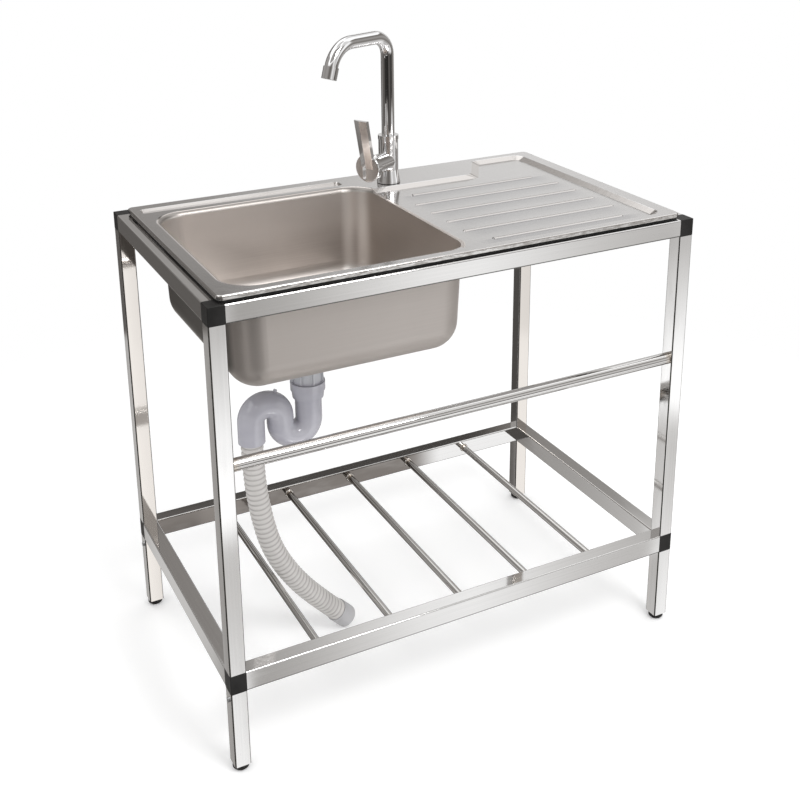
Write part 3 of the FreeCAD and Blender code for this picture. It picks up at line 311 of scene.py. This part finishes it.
def hose_plastic():
    """Glossy ribbed plastic, with painted shade darkening the valleys."""
    finish = Finish("hose_plastic", specular_ior_level=1.0)
    crest = finish.node("ShaderNodeAttribute", {"attribute_name": "rib_crest"}, out=2)
    cloudy = finish.grain(60.0)
    fine = finish.grain(900.0, detail=2.0)
    # Painted shade: the valleys between the ribs are coloured darker than the crests.
    tone = finish.mixed(crest.eased(0.0, 0.6), (0.39, 0.375, 0.36), (0.59, 0.57, 0.555))
    finish.give("Base Color", finish.mixed(cloudy.eased(0.35, 0.75) * 0.3, tone, (0.50, 0.48, 0.465)))
    finish.give("Roughness", 0.13 + cloudy * 0.06 + fine * 0.03)
    return finish.bumped(fine + cloudy, 0.1, 0.0005)


def drain_hose():
    line = hose_line()
    made = finished_piece("ribbed_drain_hose", hose_tube(line), hose_plastic())
    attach(made, BODY)
    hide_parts("drain_hose")


drain_hose()


# Weld beads
BEAD_RING = 0.0066
BEAD_RADIUS = 0.0018
BEAD_POINTS = 8
BEAD_STEPS = 20
RAIL_INSIDE = 0.215
SAME_PLACE = 0.00001


def weld_steel():
    """Rippled weld, bright with warm hollows."""
    finish = Finish("weld_steel", metallic=1.0)
    ripple = finish.grain(420.0)
    tone = finish.mixed(ripple.eased(0.35, 0.7), (0.80, 0.75, 0.70), (0.97, 0.96, 0.94))
    finish.give("Base Color", tone)
    finish.give("Roughness", 0.12 + ripple * 0.12)
    return finish.bumped(ripple, 0.2, 0.001)


def weld_beads():
    """A small ring of weld where each shelf bar meets the lower rails."""
    mesh = bmesh.new()
    for label in sorted(name for name in nodes if name.startswith("shelf_bar_")):
        low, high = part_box(label)
        middle = Vector(((low[0] + high[0]) / 2, 0.0, (low[2] + high[2]) / 2))
        for end in (-RAIL_INSIDE, RAIL_INSIDE):
            centre = middle + Vector((0.0, end, 0.0))
            place = Matrix.Translation(centre + Vector((BEAD_RING, 0.0, 0.0)))
            ring = bmesh.ops.create_circle(mesh, segments=BEAD_POINTS, radius=BEAD_RADIUS,
                                           matrix=place)["verts"]
            bmesh.ops.spin(mesh, geom=ring + edges_of(ring), cent=centre, axis=(0.0, 1.0, 0.0),
                           angle=2 * math.pi, steps=BEAD_STEPS, use_merge=True)
    bmesh.ops.remove_doubles(mesh, verts=mesh.verts, dist=SAME_PLACE)
    bmesh.ops.recalc_face_normals(mesh, faces=mesh.faces)
    for face in mesh.faces:
        face.smooth = True
    made = finished_piece("weld_beads", mesh, weld_steel())
    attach(made, BODY)


weld_beads()


# Steel finishes
BOWL_MIDDLE = (-0.1715, -0.029, 0.68)
BOWL_HALF = (0.185, 0.182)
BOWL_CORNER = 0.046
DECK = 0.75
BOARD_RIBS = 6
FIRST_RIB = 0.075
RIB_PITCH = 0.052
LAST_RIB = FIRST_RIB - (BOARD_RIBS - 1) * RIB_PITCH
LOWER_RAIL = (0.139, 0.171)
TOP_RAIL = (0.7125, 0.74)
TUBE_EDGES = {"X": (0.375, 0.4), "Y": (RAIL_INSIDE, 0.24), "Z": LOWER_RAIL + TOP_RAIL}
MID_RAIL_END = 0.3875
SHELF_BAR_END = 0.2275
STRAINER_MIDDLE = (-0.1745, -0.018)
TAP_MIDDLE = (0.0585, 0.152)
TURNED_RINGS = 3600.0


class SinkSheet(Finish):
    """Pressed sheet: bright deck with lines along it, satin bowl brushed round its walls, duller outside."""

    def __init__(self):
        super().__init__("sink_steel", metallic=1.0)
        self.across, self.depth, self.height = (self.place(letter) for letter in "XYZ")
        self.from_mouth = self.mouth_distance()
        self.level = abs(self.facing("Z")).eased(0.75, 0.95)
        wall_lines = self.grain(stretch=(7, 7, 620), detail=4.0)
        floor_lines = self.grain(stretch=(8, 420, 8), detail=4.0)
        self.lines = self.level.blended(wall_lines, floor_lines)
        self.deck_lines = self.grain(stretch=(9, 520, 200), detail=4.0)
        self.clouds = self.grain(7.0)
        self.spots = self.grain(38.0, detail=4.0, roughness=0.7)
        self.crinkle = self.grain(stretch=(60, 60, 320), detail=2.0)

        deck = self.height.eased(DECK - 0.014, DECK - 0.010) * self.from_mouth.eased(0.0036, 0.0050)
        outward = sum((self.place(letter) - middle) * self.facing(letter)
                      for letter, middle in zip("XYZ", BOWL_MIDDLE))
        outside = outward.eased(-0.003, 0.003) * (1 - deck)
        upright = 1 - abs(self.facing("Z")).eased(0.35, 0.8)
        lip = upright * (1 - self.depth.eased(-0.231, -0.2295)) * deck

        bowl = self.mixed(outside, self.bowl_inside(), self.bowl_outside())
        self.give("Base Color", self.mixed(deck, bowl, self.deck_top(lip)))
        bowl_gloss = outside.blended(0.30 + self.lines * 0.12 + self.spots * 0.05, 0.40 + self.lines * 0.10)
        deck_gloss = 0.10 + self.deck_lines * 0.07 + self.clouds * 0.05
        self.give("Roughness", deck.blended(bowl_gloss, deck_gloss))
        pressed = self.grain(55.0, detail=2.0)
        relief = pressed * 0.6 + self.lines * (1 - deck) * 0.12 + self.crinkle * lip * 0.5
        self.bumped(relief, 0.1, 0.0012)

    def mouth_distance(self):
        """Distance outwards from the rounded outline of the bowl's mouth, in plan."""
        over = [abs(self.place(letter) - middle) - half + BOWL_CORNER
                for letter, middle, half in zip("XY", BOWL_MIDDLE, BOWL_HALF)]
        outer = [reach.higher_of(0.0) for reach in over]
        corner = (outer[0] * outer[0] + outer[1] * outer[1]).root()
        return corner + over[0].higher_of(over[1]).lower_of(0.0) - BOWL_CORNER

    def bowl_inside(self):
        """Satin walls and floor: painted light on the rear wall, painted shade on the right wall, painted
        highlights in the rear corners.
        """
        tone = self.mixed(self.lines.eased(0.3, 0.72), (0.645, 0.60, 0.57), (0.705, 0.66, 0.625))
        tone = self.mixed(self.clouds.eased(0.45, 0.7) * 0.35, tone, (0.55, 0.51, 0.475))
        tone = self.mixed(self.spots.eased(0.6, 0.78) * 0.4, tone, (0.72, 0.69, 0.66))
        # Painted light: the rear wall is paler near its top and towards the left.
        rear_wall = (-self.facing("Y")).eased(0.5, 0.95) * self.depth.eased(0.1, 0.13)
        rear_wall_light = self.height.eased(0.645, 0.705).higher_of(1 - self.across.eased(-0.3, -0.17))
        tone = self.mixed(rear_wall * rear_wall_light * 0.9, tone, (0.95, 0.905, 0.87))
        # Painted shade: the right wall is coloured darker.
        right_wall_shade = (-self.facing("X")).eased(0.6, 0.95) * self.across.eased(-0.03, 0.0)
        tone = self.mixed(right_wall_shade * 0.6, tone, (0.46, 0.42, 0.39))
        # Painted highlights: bright vertical streaks in the rear corners.
        corner_highlight = self.across.band(-0.038, -0.011, 0.012) * 0.8 + self.across.band(-0.012, 0.010, 0.010)
        corner_highlight = corner_highlight + self.across.band(-0.36, -0.312, 0.018) * 0.6
        corner_highlight = corner_highlight * self.depth.eased(0.10, 0.125) * (1 - self.level)
        corner_highlight = corner_highlight * (0.5 + self.height.eased(0.62, 0.72) * 0.5)
        tone = self.mixed(corner_highlight.lower_of(1.0), tone, (1.0, 0.97, 0.94))
        # Painted dark reflection on the rounding at the bowl's mouth.
        near_top = self.height.eased(DECK - 0.0095, DECK - 0.007)
        rounding_reflection = self.from_mouth.band(-0.0006, 0.0056, 0.0012) * near_top
        return self.mixed(rounding_reflection * 0.9, tone, (0.36, 0.335, 0.315))

    def bowl_outside(self):
        """Duller sheet, with painted shade growing towards the left and a nearly black painted shadow on the
        left side.
        """
        tone = self.mixed(self.lines.eased(0.3, 0.75), (0.75, 0.70, 0.665), (0.775, 0.725, 0.69))
        tone = self.mixed(self.clouds.eased(0.4, 0.7) * 0.3, tone, (0.60, 0.56, 0.53))
        # Painted shade: darker towards the left.
        tone = self.mixed(0.4 - self.across.eased(-0.3, -0.05) * 0.4, tone, (0.62, 0.575, 0.54))
        # Painted shadow: the left side of the bowl is coloured nearly black.
        left_side_shadow = (-self.facing("X")).eased(0.86, 0.99)
        return self.mixed(left_side_shadow * 0.9, tone, (0.15, 0.14, 0.13))

    def deck_top(self, lip):
        """Bright deck: painted warm highlight round the mouth, painted wavy reflection on the crinkled front
        lip, painted shade on the step and between the drainboard's ribs.
        """
        tone = self.mixed(self.deck_lines.eased(0.3, 0.75), (0.80, 0.79, 0.785), (0.86, 0.85, 0.845))
        tone = self.mixed(self.clouds.eased(0.5, 0.75) * 0.2, tone, (0.76, 0.755, 0.75))
        # Painted highlight: a warm pale ring round the mouth.
        ring = self.from_mouth.band(0.0034, 0.0068, 0.001)
        tone = self.mixed(ring * 0.8, tone, (0.97, 0.90, 0.85))
        # Painted reflection: dark and bright waves on the front lip, following the crinkle.
        lip_reflection = self.mixed(self.crinkle.eased(0.4, 0.62), (0.56, 0.54, 0.52), (0.93, 0.92, 0.91))
        tone = self.mixed(lip, tone, lip_reflection)
        # Painted shade on the sloping faces of the step just below the deck.
        step_height = self.height.band(DECK - 0.0064, DECK - 0.0003, 0.0006)
        step_shade = self.facing("Z").band(0.3, 0.975, 0.02) * step_height
        tone = self.mixed(step_shade * 0.7, tone, (0.72, 0.68, 0.65))
        ribbed_depth = self.depth.band(LAST_RIB - RIB_PITCH, FIRST_RIB + 0.02, 0.02)
        board = self.across.band(0.03, 0.34, 0.04) * ribbed_depth
        before_rib = ((FIRST_RIB - self.depth) / RIB_PITCH + 1.0).fraction()
        below_ribs = 1 - self.height.eased(DECK - 0.0054, DECK - 0.0048)
        shade = (1 - before_rib.eased(0.1, 0.95)) * below_ribs * board
        tone = self.mixed(shade * 0.6, tone, (0.55, 0.55, 0.565))
        # Painted shade on the ribs' left-facing sides.
        rib_side_shade = self.height.band(DECK - 0.0058, DECK - 0.0036, 0.0003) * board
        return self.mixed((-self.facing("X")).eased(0.15, 0.4) * rib_side_shade, tone, (0.22, 0.21, 0.205))


def stretched(run, lengthwise, sideways):
    """Scale of a pattern on a piece that runs along one axis."""
    return tuple(lengthwise if letter == run else sideways for letter in "XYZ")


def from_edges(finish, letter):
    """Distance in one direction from the nearest long edge of the stand's tubes."""
    place = abs(finish.place(letter))
    gaps = [abs(place - level) for level in TUBE_EDGES[letter]]
    nearest = gaps[0]
    for gap in gaps[1:]:
        nearest = nearest.lower_of(gap)
    return nearest


def rear_fronts(finish):
    """1 on the faces of the rear tubes that look to the front."""
    return finish.place("Y").eased(0.2, 0.21) * (-finish.facing("Y")).eased(0.5, 0.8)


def low_down(finish):
    """1 on the lower rails and below them."""
    return 1 - finish.place("Z").eased(0.18, 0.2)


def long_rail_painted_light(finish, tone, wipes):
    """Painted dark reflection along the front rails' lower edges, and painted shade on the front of the rear
    lower rail.
    """
    height = finish.place("Z")
    from_underside = abs(height - TOP_RAIL[0]).lower_of(abs(height - LOWER_RAIL[0]))
    front_face = (-finish.facing("Y")).eased(0.5, 0.8) * (-finish.place("Y")).eased(0.2, 0.22)
    # Painted dark reflection: a thin dark line along the front rails' lower edges.
    underside_reflection = (1 - from_underside.eased(0.0018, 0.0028)) * front_face
    tone = finish.mixed(underside_reflection * 0.85, tone, (0.13, 0.125, 0.12))
    # Painted shade on the left part of the rear lower rail's front.
    rear_rail_shade = finish.mixed(wipes.eased(0.4, 0.65), (0.22, 0.20, 0.185), (0.29, 0.27, 0.255))
    left_part = 1 - finish.place("X").eased(0.13, 0.2)
    return finish.mixed(rear_fronts(finish) * low_down(finish) * left_part, tone, rear_rail_shade)


def side_rail_painted_light(finish, tone):
    """Painted dark reflections on the upper edges of the right lower rail."""
    # Painted dark reflection on the upper edges.
    upper_edge_reflection = (abs(finish.facing("X")) * finish.facing("Z")).eased(0.15, 0.35)
    right_side = finish.place("X").eased(0.3, 0.36)
    return finish.mixed(upper_edge_reflection * low_down(finish) * right_side, tone, (0.42, 0.40, 0.385))


def leg_painted_light(finish, tone):
    """Painted warm reflection on the fronts of the rear legs."""
    # Painted reflection: the rear legs' front faces are warmer.
    return finish.mixed(rear_fronts(finish), tone, (0.89, 0.845, 0.80))


def tube_steel(name, run):
    """Polished square tube: drawn lines, wipe marks, painted highlights along the edges and painted dark
    reflections in the rounded corners.
    """
    finish = Finish(name, metallic=1.0)
    sides = [letter for letter in "XYZ" if letter != run]
    lines = finish.grain(stretch=stretched(run, 4, 640), detail=4.0)
    wipes = finish.grain(stretch=stretched(run, 9, 34))
    # Painted highlight: the tubes' rounded edges are coloured brighter.
    edge = 1 - from_edges(finish, sides[0]).higher_of(from_edges(finish, sides[1])).eased(0.0007, 0.0022)
    tone = finish.mixed(lines.eased(0.3, 0.75), (0.885, 0.88, 0.875), (0.925, 0.92, 0.915))
    tone = finish.mixed(wipes.eased(0.52, 0.72) * 0.2, tone, (0.84, 0.835, 0.83))
    tone = finish.mixed(edge * 0.6, tone, (0.97, 0.965, 0.96))

    if run == "X":
        tone = long_rail_painted_light(finish, tone, wipes)
    elif run == "Y":
        tone = side_rail_painted_light(finish, tone)
    else:
        tone = leg_painted_light(finish, tone)
    # Painted dark reflection in the rounded corners: the rails' lower edges and the legs' upright edges.
    outward = abs(finish.facing("Y")) if run == "Z" else -finish.facing("Z")
    rounding_reflection = (abs(finish.facing(sides[0])) * outward).eased(0.2, 0.4)
    finish.give("Base Color", finish.mixed(rounding_reflection * 0.85, tone, (0.12, 0.115, 0.11)))
    finish.give("Roughness", 0.045 + lines * 0.02 + wipes.eased(0.5, 0.75) * 0.03 + edge * 0.04)
    swell = finish.grain(stretch=stretched(run, 5, 14), detail=1.0)
    return finish.bumped(swell, 0.1, 0.0012)


def rod_steel(name, run, end, dark, light):
    """Bright round rod with drawn lines along it and heat tint at its welded ends."""
    finish = Finish(name, metallic=1.0)
    lines = finish.grain(stretch=stretched(run, 5, 700), detail=4.0)
    rust = finish.grain(30.0)
    weld = abs(finish.place(run)).eased(end - 0.026, end - 0.012)
    tone = finish.mixed(lines.eased(0.3, 0.72), dark, light)
    finish.give("Base Color", finish.mixed(weld * (0.3 + rust * 0.5), tone, (0.78, 0.66, 0.52)))
    finish.give("Roughness", 0.05 + lines * 0.025 + weld * 0.2)
    return finish.bumped(rust, 0.06, 0.0006)


def turned_metal(name, middle, light, dark, gloss):
    """Metal with fine turned rings about an upright line."""
    finish = Finish(name, metallic=1.0)
    across, depth = (finish.place(letter) - place for letter, place in zip("XY", middle))
    radius = (across * across + depth * depth).root()
    rings = (radius * TURNED_RINGS).wave() * 0.5 + 0.5
    marks = finish.grain(45.0)
    tone = finish.mixed(rings, dark, light)
    finish.give("Base Color", finish.mixed(marks.eased(0.5, 0.75) * 0.3, tone, dark))
    finish.give("Roughness", gloss + rings * 0.05 + marks * 0.08)
    return finish.bumped(rings, 0.05, 0.0003)


def zinc_steel():
    """Zinc plated fixings with faint spangle and dull recesses."""
    finish = Finish("fixing_steel", metallic=1.0)
    spangle = finish.node("ShaderNodeTexVoronoi", sockets={"Vector": finish.place(), "Scale": 900.0})
    dust = finish.grain(260.0)
    tone = finish.mixed(spangle.eased(0.1, 0.7), (0.70, 0.71, 0.73), (0.58, 0.59, 0.60))
    finish.give("Base Color", finish.mixed(dust.eased(0.5, 0.75) * 0.5, tone, (0.42, 0.41, 0.40)))
    return finish.give("Roughness", 0.22 + spangle * 0.12 + dust * 0.1)


def chrome_plate():
    """Bright plating: almost a mirror, with faint finger marks and a slight swell of the casting."""
    finish = Finish("chrome", metallic=1.0)
    marks = finish.grain(42.0, detail=4.0, roughness=0.65)
    swell = finish.grain(30.0, detail=1.0)
    tone = finish.mixed(marks.eased(0.55, 0.75) * 0.5, (0.94, 0.94, 0.945), (0.86, 0.855, 0.85))
    finish.give("Base Color", tone)
    finish.give("Roughness", 0.03 + marks.eased(0.5, 0.75) * 0.06)
    return finish.bumped(swell, 0.05, 0.0008)


# Plastic and rubber finishes
NECK_SEAM = (0.497, 0.503)


def moulded(name, dark, light, gloss, speckle, shine=0.5, relief=0.18):
    """Moulded plastic: fine spark texture, cloudy colour and polish that varies a little."""
    finish = Finish(name, specular_ior_level=shine)
    fine = finish.grain(speckle, roughness=0.6)
    clouds = finish.grain(26.0)
    finish.give("Base Color", finish.mixed(clouds.eased(0.3, 0.7) * 0.7 + fine * 0.3, dark, light))
    finish.give("Roughness", gloss + (fine - 0.5) * 0.16 + (clouds - 0.5) * 0.1)
    return finish.bumped(fine, relief, 0.0004)


def trap_plastic():
    """Glossy grey waste fittings with a slightly paler neck and soft flow marks."""
    finish = Finish("grey_plastic", specular_ior_level=1.0)
    flow = finish.grain(stretch=(16, 16, 30), detail=2.0)
    fine = finish.grain(900.0, detail=2.0)
    neck = finish.place("Z").eased(*NECK_SEAM)
    tone = finish.mixed(flow.eased(0.3, 0.72), (0.41, 0.405, 0.455), (0.465, 0.46, 0.505))
    finish.give("Base Color", finish.mixed(neck * 0.7, tone, (0.52, 0.53, 0.55)))
    finish.give("Roughness", 0.10 + flow * 0.05 + fine * 0.02)
    return finish.bumped(flow * 0.5 + fine * 0.1, 0.03, 0.0006)


FINISH = {
    "sink_steel": SinkSheet(),
    "fixing_steel": zinc_steel(),
    "waste_steel": turned_metal("waste_steel", STRAINER_MIDDLE, light=(0.80, 0.79, 0.78),
                                dark=(0.66, 0.65, 0.64), gloss=0.14),
    "black_plastic": moulded("black_plastic", (0.009, 0.0085, 0.008), (0.021, 0.020, 0.0195),
                             gloss=0.40, speckle=1500.0, shine=0.25),
    "black_rubber": moulded("black_rubber", (0.008, 0.008, 0.008), (0.02, 0.02, 0.02),
                            gloss=0.68, speckle=900.0, shine=0.15, relief=0.03),
    "grey_plastic": trap_plastic(),
    "hose_plastic": moulded("hose_core", (0.40, 0.385, 0.375), (0.52, 0.505, 0.49),
                            gloss=0.35, speckle=700.0),
    "cuff_plastic": moulded("cuff_plastic", (0.41, 0.405, 0.415), (0.48, 0.475, 0.485),
                            gloss=0.3, speckle=900.0),
    "chrome": chrome_plate(),
    "white_plastic": moulded("white_plastic", (0.72, 0.72, 0.70), (0.82, 0.82, 0.80),
                             gloss=0.38, speckle=1100.0),
    "brass": turned_metal("brass", TAP_MIDDLE, light=(0.80, 0.63, 0.33),
                          dark=(0.62, 0.47, 0.22), gloss=0.22),
}
RUN_FINISH = {
    "frame_steel": {
        "X": tube_steel("long_rail_steel", "X"),
        "Y": tube_steel("side_rail_steel", "Y"),
        "Z": tube_steel("leg_steel", "Z"),
    },
    "bar_steel": {
        "X": rod_steel("mid_rail_steel", "X", MID_RAIL_END,
                       dark=(0.86, 0.85, 0.84), light=(0.93, 0.925, 0.92)),
        # Painted shade: the shelf bars are the mid rail's steel with darker tones.
        "Y": rod_steel("shaded_shelf_bar_steel", "Y", SHELF_BAR_END,
                       dark=(0.62, 0.605, 0.59), light=(0.70, 0.69, 0.675)),
    },
}


def longest_run(label):
    low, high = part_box(label)
    return max(zip((b - a for a, b in zip(low, high)), "XYZ"))[1]


for part in frame["record"]["subparts"]:
    label, slot = part["node"], part["material_slot"]
    finish = RUN_FINISH[slot][longest_run(label)] if slot in RUN_FINISH else FINISH[slot]
    data = nodes[label].data
    data.materials.clear()
    data.materials.append(finish.material)


# Studio
FLOOR_RADIUS = 1.6
FLOOR_POINTS = 64
FLOOR_FADE = (0.7, 1.55)
EYE_HEIGHT = 1.3045
KEY_PLACE = (0.5, -2.0, 2.6)
KEY_TARGET = (0, 0, 0.5)
KEY_WIDTH = 1.1
KEY_POWER = 30


def floor():
    """Pale disc that fades out at its rim; mirrors don't see it."""
    mesh = bmesh.new()
    bmesh.ops.create_circle(mesh, cap_ends=True, segments=FLOOR_POINTS, radius=FLOOR_RADIUS)
    finish = Finish("studio_floor", base_color=(0.95, 0.95, 0.95), roughness=1.0, specular_ior_level=0.0,
                    emission_color=(1.0, 1.0, 1.0), emission_strength=0.14)
    reach = finish.node("ShaderNodeVectorMath", {"operation": "LENGTH"}, {0: finish.place()}, out=1)
    finish.give("Alpha", 1 - reach.eased(*FLOOR_FADE))
    made = finished_piece("studio_floor", mesh, finish)
    made.visible_glossy = False


class Ray:
    """Where a ray into the studio points: its parts, its slope, and its turn in degrees."""

    def __init__(self, shading):
        way = shading.node("ShaderNodeTexCoord")
        self.across, self.depth, self.rise = (shading.split(way, letter) for letter in "XYZ")
        flat = (self.across * self.across + self.depth * self.depth).root()
        self.slope = self.rise / flat.higher_of(0.001)
        self.front_turn = self.across.angle_from(-self.depth)
        self.rear_turn = self.across.angle_from(self.depth)
        self.side_turn = self.across.angle_from(abs(self.depth))


def post_panel(ray, turn):
    """Panel that the legs mirror, graded by the height at which they show it."""
    height = ray.slope * abs(turn).graded((17.4, 1.439), (41.3, 1.828)) + EYE_HEIGHT
    return height.graded(
        (0.02, 0.98), (0.12, 0.9), (0.18, 0.78), (0.26, 0.66), (0.34, 0.6), (0.375, 0.62), (0.395, 0.82),
        (0.41, 1.05), (0.43, 1.2), (0.46, 1.2), (0.54, 1.05), (0.61, 0.82), (0.70, 0.55))


def rail_panel(ray):
    """Panel that the front rails mirror, brightest at two places along them."""
    return ray.side_turn.graded(
        (-180, 0.25), (-120, 0.15), (-60, 0.12), (-34, 0.08), (0, 0.12), (9.5, 0.3), (11.2, 1.05),
        (13.9, 1.05), (14.3, 0.4), (18, 0.36), (21.5, 0.47), (24.8, 0.67), (27.9, 0.86), (30.8, 0.915),
        (33.5, 0.81), (36.1, 0.657), (38.6, 0.56), (41, 0.5), (60, 0.35), (100, 0.3), (180, 0.3))


def over_panel(ray):
    """Panel overhead, bright on the left."""
    return 1.25 - ray.across.eased(0.2, 0.4) * 0.55


def low_front(ray):
    """Low in front: panels for the front rails and legs."""
    between_rails = ray.rise.band(-0.53, -0.385, 0.012)
    between_rails = between_rails * ray.front_turn.eased(13.5, 13.9) * (1 - ray.front_turn.eased(38, 44))
    post = ray.front_turn.band(15.7, 18.4, 0.4).higher_of(ray.front_turn.band(40.4, 45, 0.4))
    rails = between_rails.blended(rail_panel(ray), 0.95)
    return post.blended(rails, post_panel(ray, ray.front_turn))


def high_front(ray):
    """Higher in front: panels for the tap's body, riser and spout."""
    body = ray.front_turn.graded(
        (-180, 0.25), (-120, 0.12), (-95, 0.12), (-70, 0.12), (-52, 0.2), (-46, 0.7), (-34, 0.7), (-28, 0.15),
        (-8, 0.06), (8, 0.1), (30, 0.15), (44, 0.9), (60, 1.0), (75, 0.4), (95, 0.2), (110, 0.25), (130, 0.5),
        (180, 0.25))
    riser = ray.front_turn.graded(
        (-180, 0.22), (-140, 0.1), (-110, 0.12), (-86, 0.1), (-70, 0.03), (-12, 0.02), (-3, 0.1), (7, 0.12),
        (18, 0.05), (70, 0.05), (82, 0.16), (100, 0.18), (112, 0.4), (130, 0.5), (150, 0.3), (180, 0.22))
    spout = ray.front_turn.graded(
        (-180, 0.4), (-110, 0.35), (-80, 0.3), (-60, 0.3), (-45, 0.2), (-30, 0.12), (-12, 0.2), (0, 0.6),
        (10, 0.9), (17, 0.6), (42, 0.55), (52, 1.0), (70, 0.9), (78, 0.28), (100, 0.28), (130, 0.4),
        (180, 0.4))
    riser = ray.rise.eased(-0.226, -0.198).blended(body, riser)
    spout = ray.rise.eased(0.35, 0.5).blended(spout, over_panel(ray))
    rod_line = ray.rise.band(0.3, 0.62, 0.08) * ray.front_turn.band(10, 50, 6)
    return ray.rise.eased(-0.12, -0.05).blended(riser, rod_line.blended(spout, 0.24))


def front_wall(ray):
    """The whole front, with a bright band low down and a dim floor below it."""
    wall = ray.rise.eased(-0.3, -0.27).blended(low_front(ray), high_front(ray))
    return wall.higher_of(ray.rise.band(-0.79, -0.68, 0.03)) * ray.rise.eased(-0.82, -0.77).higher_of(0.3)


def low_rear(ray):
    """Low behind: panels for the left faces of the side rails and legs."""
    upper = ray.rear_turn.graded(
        (-120, 0.12), (-50, 0.12), (-44, 0.55), (-41.8, 0.6), (-40, 0.4), (-36, 0.07), (-30, 0.07),
        (-18, 0.11), (-10, 0.11), (5, 0.04), (40, 0.04), (50, 0.6), (120, 0.6))
    lower = ray.rear_turn.graded(
        (-120, 0.12), (-50, 0.12), (-44, 0.55), (-41, 0.55), (-36, 0.36), (-33.25, 0.34), (-33.15, 0.1),
        (-30, 0.1), (-20, 0.3), (-16.68, 0.3), (-16.6, 0.55), (-12.92, 0.6), (-12.85, 0.2), (0, 0.4),
        (120, 0.5))
    border = -ray.rear_turn.graded((-33, 0.46), (-16, 0.381))
    sides = (ray.rise - border).eased(-0.005, 0.005).blended(lower, upper)
    post = post_panel(ray, ray.rear_turn) * (0.55 + ray.slope.eased(-0.645, -0.63) * 0.45)
    return ray.rear_turn.band(-44, -40.1, 0.4).blended(sides, post)


def high_rear(ray):
    """High behind: panels for the deck, the rails' top faces and the shelf."""
    deck = ray.rear_turn.graded(
        (-90, 0.25), (-26, 0.35), (-20, 0.12), (-6, 0.12), (0, 0.4), (10.5, 0.4), (12.3, 0.3), (14, 0.31),
        (17.5, 0.34), (20, 0.46), (24, 0.6), (28, 0.7), (33, 0.75), (41, 0.72), (62, 0.7), (76, 0.3),
        (90, 0.28))
    dark = ray.rear_turn.graded(
        (-90, 0.3), (-26, 0.35), (-20, 0.1), (-6, 0.1), (0, 0.4), (10.5, 0.4), (12, 0.06), (31, 0.06),
        (34, 0.25), (60, 0.5))
    shelf = ray.rear_turn.graded(
        (-90, 0.3), (-26, 0.35), (-20, 0.1), (-6, 0.1), (0, 0.4), (11, 0.4), (12.6, 0.22), (17.9, 0.25))
    shelf = ray.rear_turn.eased(17.8, 18.2).blended(shelf, rail_panel(ray))
    shelf = ray.rear_turn.eased(43, 47).blended(shelf, 1.0)
    wall = ray.rise.eased(0.364, 0.38).blended(deck, dark)
    wall = ray.rise.eased(0.512, 0.52).blended(wall, shelf)
    return ray.rise.eased(0.63, 0.68).blended(wall, over_panel(ray))


def right_panel(ray):
    """Panel far to the right, graded by height."""
    return ray.rise.graded(
        (-0.72, 0.5), (-0.66, 0.5), (-0.62, 0.33), (-0.53, 0.62), (-0.39, 0.41), (-0.25, 0.2), (-0.06, 0.22),
        (0.1, 0.32), (0.2, 0.32), (0.37, 0.23), (0.5, 0.16), (0.55, 0.25), (0.6, 1.1))


def studio_world():
    """White round the object; mirrored rays see bright panels and the darker gaps between them."""
    world = bpy.data.worlds.new("studio")
    bpy.context.scene.world = world
    world.use_nodes = True
    shading = Shading(world.node_tree)
    ray = Ray(shading)
    rear_wall = ray.rise.eased(-0.05, 0.12).blended(low_rear(ray), high_rear(ray))
    mirrored = ray.depth.eased(-0.1, 0.1).blended(front_wall(ray), rear_wall)
    mirrored = ray.side_turn.eased(60, 66).blended(mirrored, right_panel(ray))
    canopy = ray.front_turn.band(-70, 30, 12) * ray.rise.band(0.46, 0.97, 0.05)
    mirrored = canopy.blended(mirrored, 0.3)
    mirrored = ray.rise.eased(0.955, 0.975).blended(mirrored, 0.6)
    warm_shades = [(0.0, (0.0, 0.0, 0.0)), (0.1, (0.206, 0.192, 0.18)), (0.3, (0.605, 0.595, 0.585)),
                   (0.5, (1.0, 1.0, 1.0)), (1.0, (2.0, 2.0, 2.0))]
    tint = shading.node("ShaderNodeValToRGB", {"stops": warm_shades}, {0: mirrored * 0.5})
    glossy_ray = shading.node("ShaderNodeLightPath", out=3)
    background = shading.tree.nodes["Background"]
    shading.feed(background.inputs["Color"], shading.mixed(glossy_ray, (1.0, 1.0, 1.0), tint))
    background.inputs["Strength"].default_value = 1.0


def key_light():
    """Square softbox in front, above and to the right."""
    data = bpy.data.lights.new("key_light", "AREA")
    data.shape = "RECTANGLE"
    data.size = KEY_WIDTH
    data.size_y = KEY_WIDTH
    data.energy = KEY_POWER
    made = bpy.data.objects.new("key_light", data)
    made.location = KEY_PLACE
    made.rotation_mode = "QUATERNION"
    made.rotation_quaternion = (Vector(KEY_TARGET) - Vector(KEY_PLACE)).to_track_quat("-Z", "Y")
    bpy.context.scene.collection.objects.link(made)


# Camera at the photo's viewing angle
CAMERA_PLACE = (-0.81826, -1.61252, 1.30451)
CAMERA_AZIMUTH = math.radians(-26.97)
CAMERA_ELEVATION = math.radians(17.83)
CAMERA_ROLL = math.radians(-0.53)
CAMERA_LENS = 53.14
CAMERA_SENSOR = 36.0
CAMERA_SHIFT = -0.21875


def camera():
    level = math.cos(CAMERA_ELEVATION)
    back = Vector((math.sin(CAMERA_AZIMUTH) * level, -math.cos(CAMERA_AZIMUTH) * level,
                   math.sin(CAMERA_ELEVATION)))
    data = bpy.data.cameras.new("photo_camera")
    data.lens = CAMERA_LENS
    data.sensor_width = CAMERA_SENSOR
    data.shift_y = CAMERA_SHIFT
    made = bpy.data.objects.new("photo_camera", data)
    made.rotation_mode = "QUATERNION"
    made.location = CAMERA_PLACE
    turn = (-back).to_track_quat("-Z", "Y")
    made.rotation_quaternion = turn @ Matrix.Rotation(CAMERA_ROLL, 3, "Z").to_quaternion()
    bpy.context.scene.collection.objects.link(made)
    bpy.context.scene.camera = made


floor()
studio_world()
key_light()
camera()
bpy.context.scene.view_settings.view_transform = "Standard"
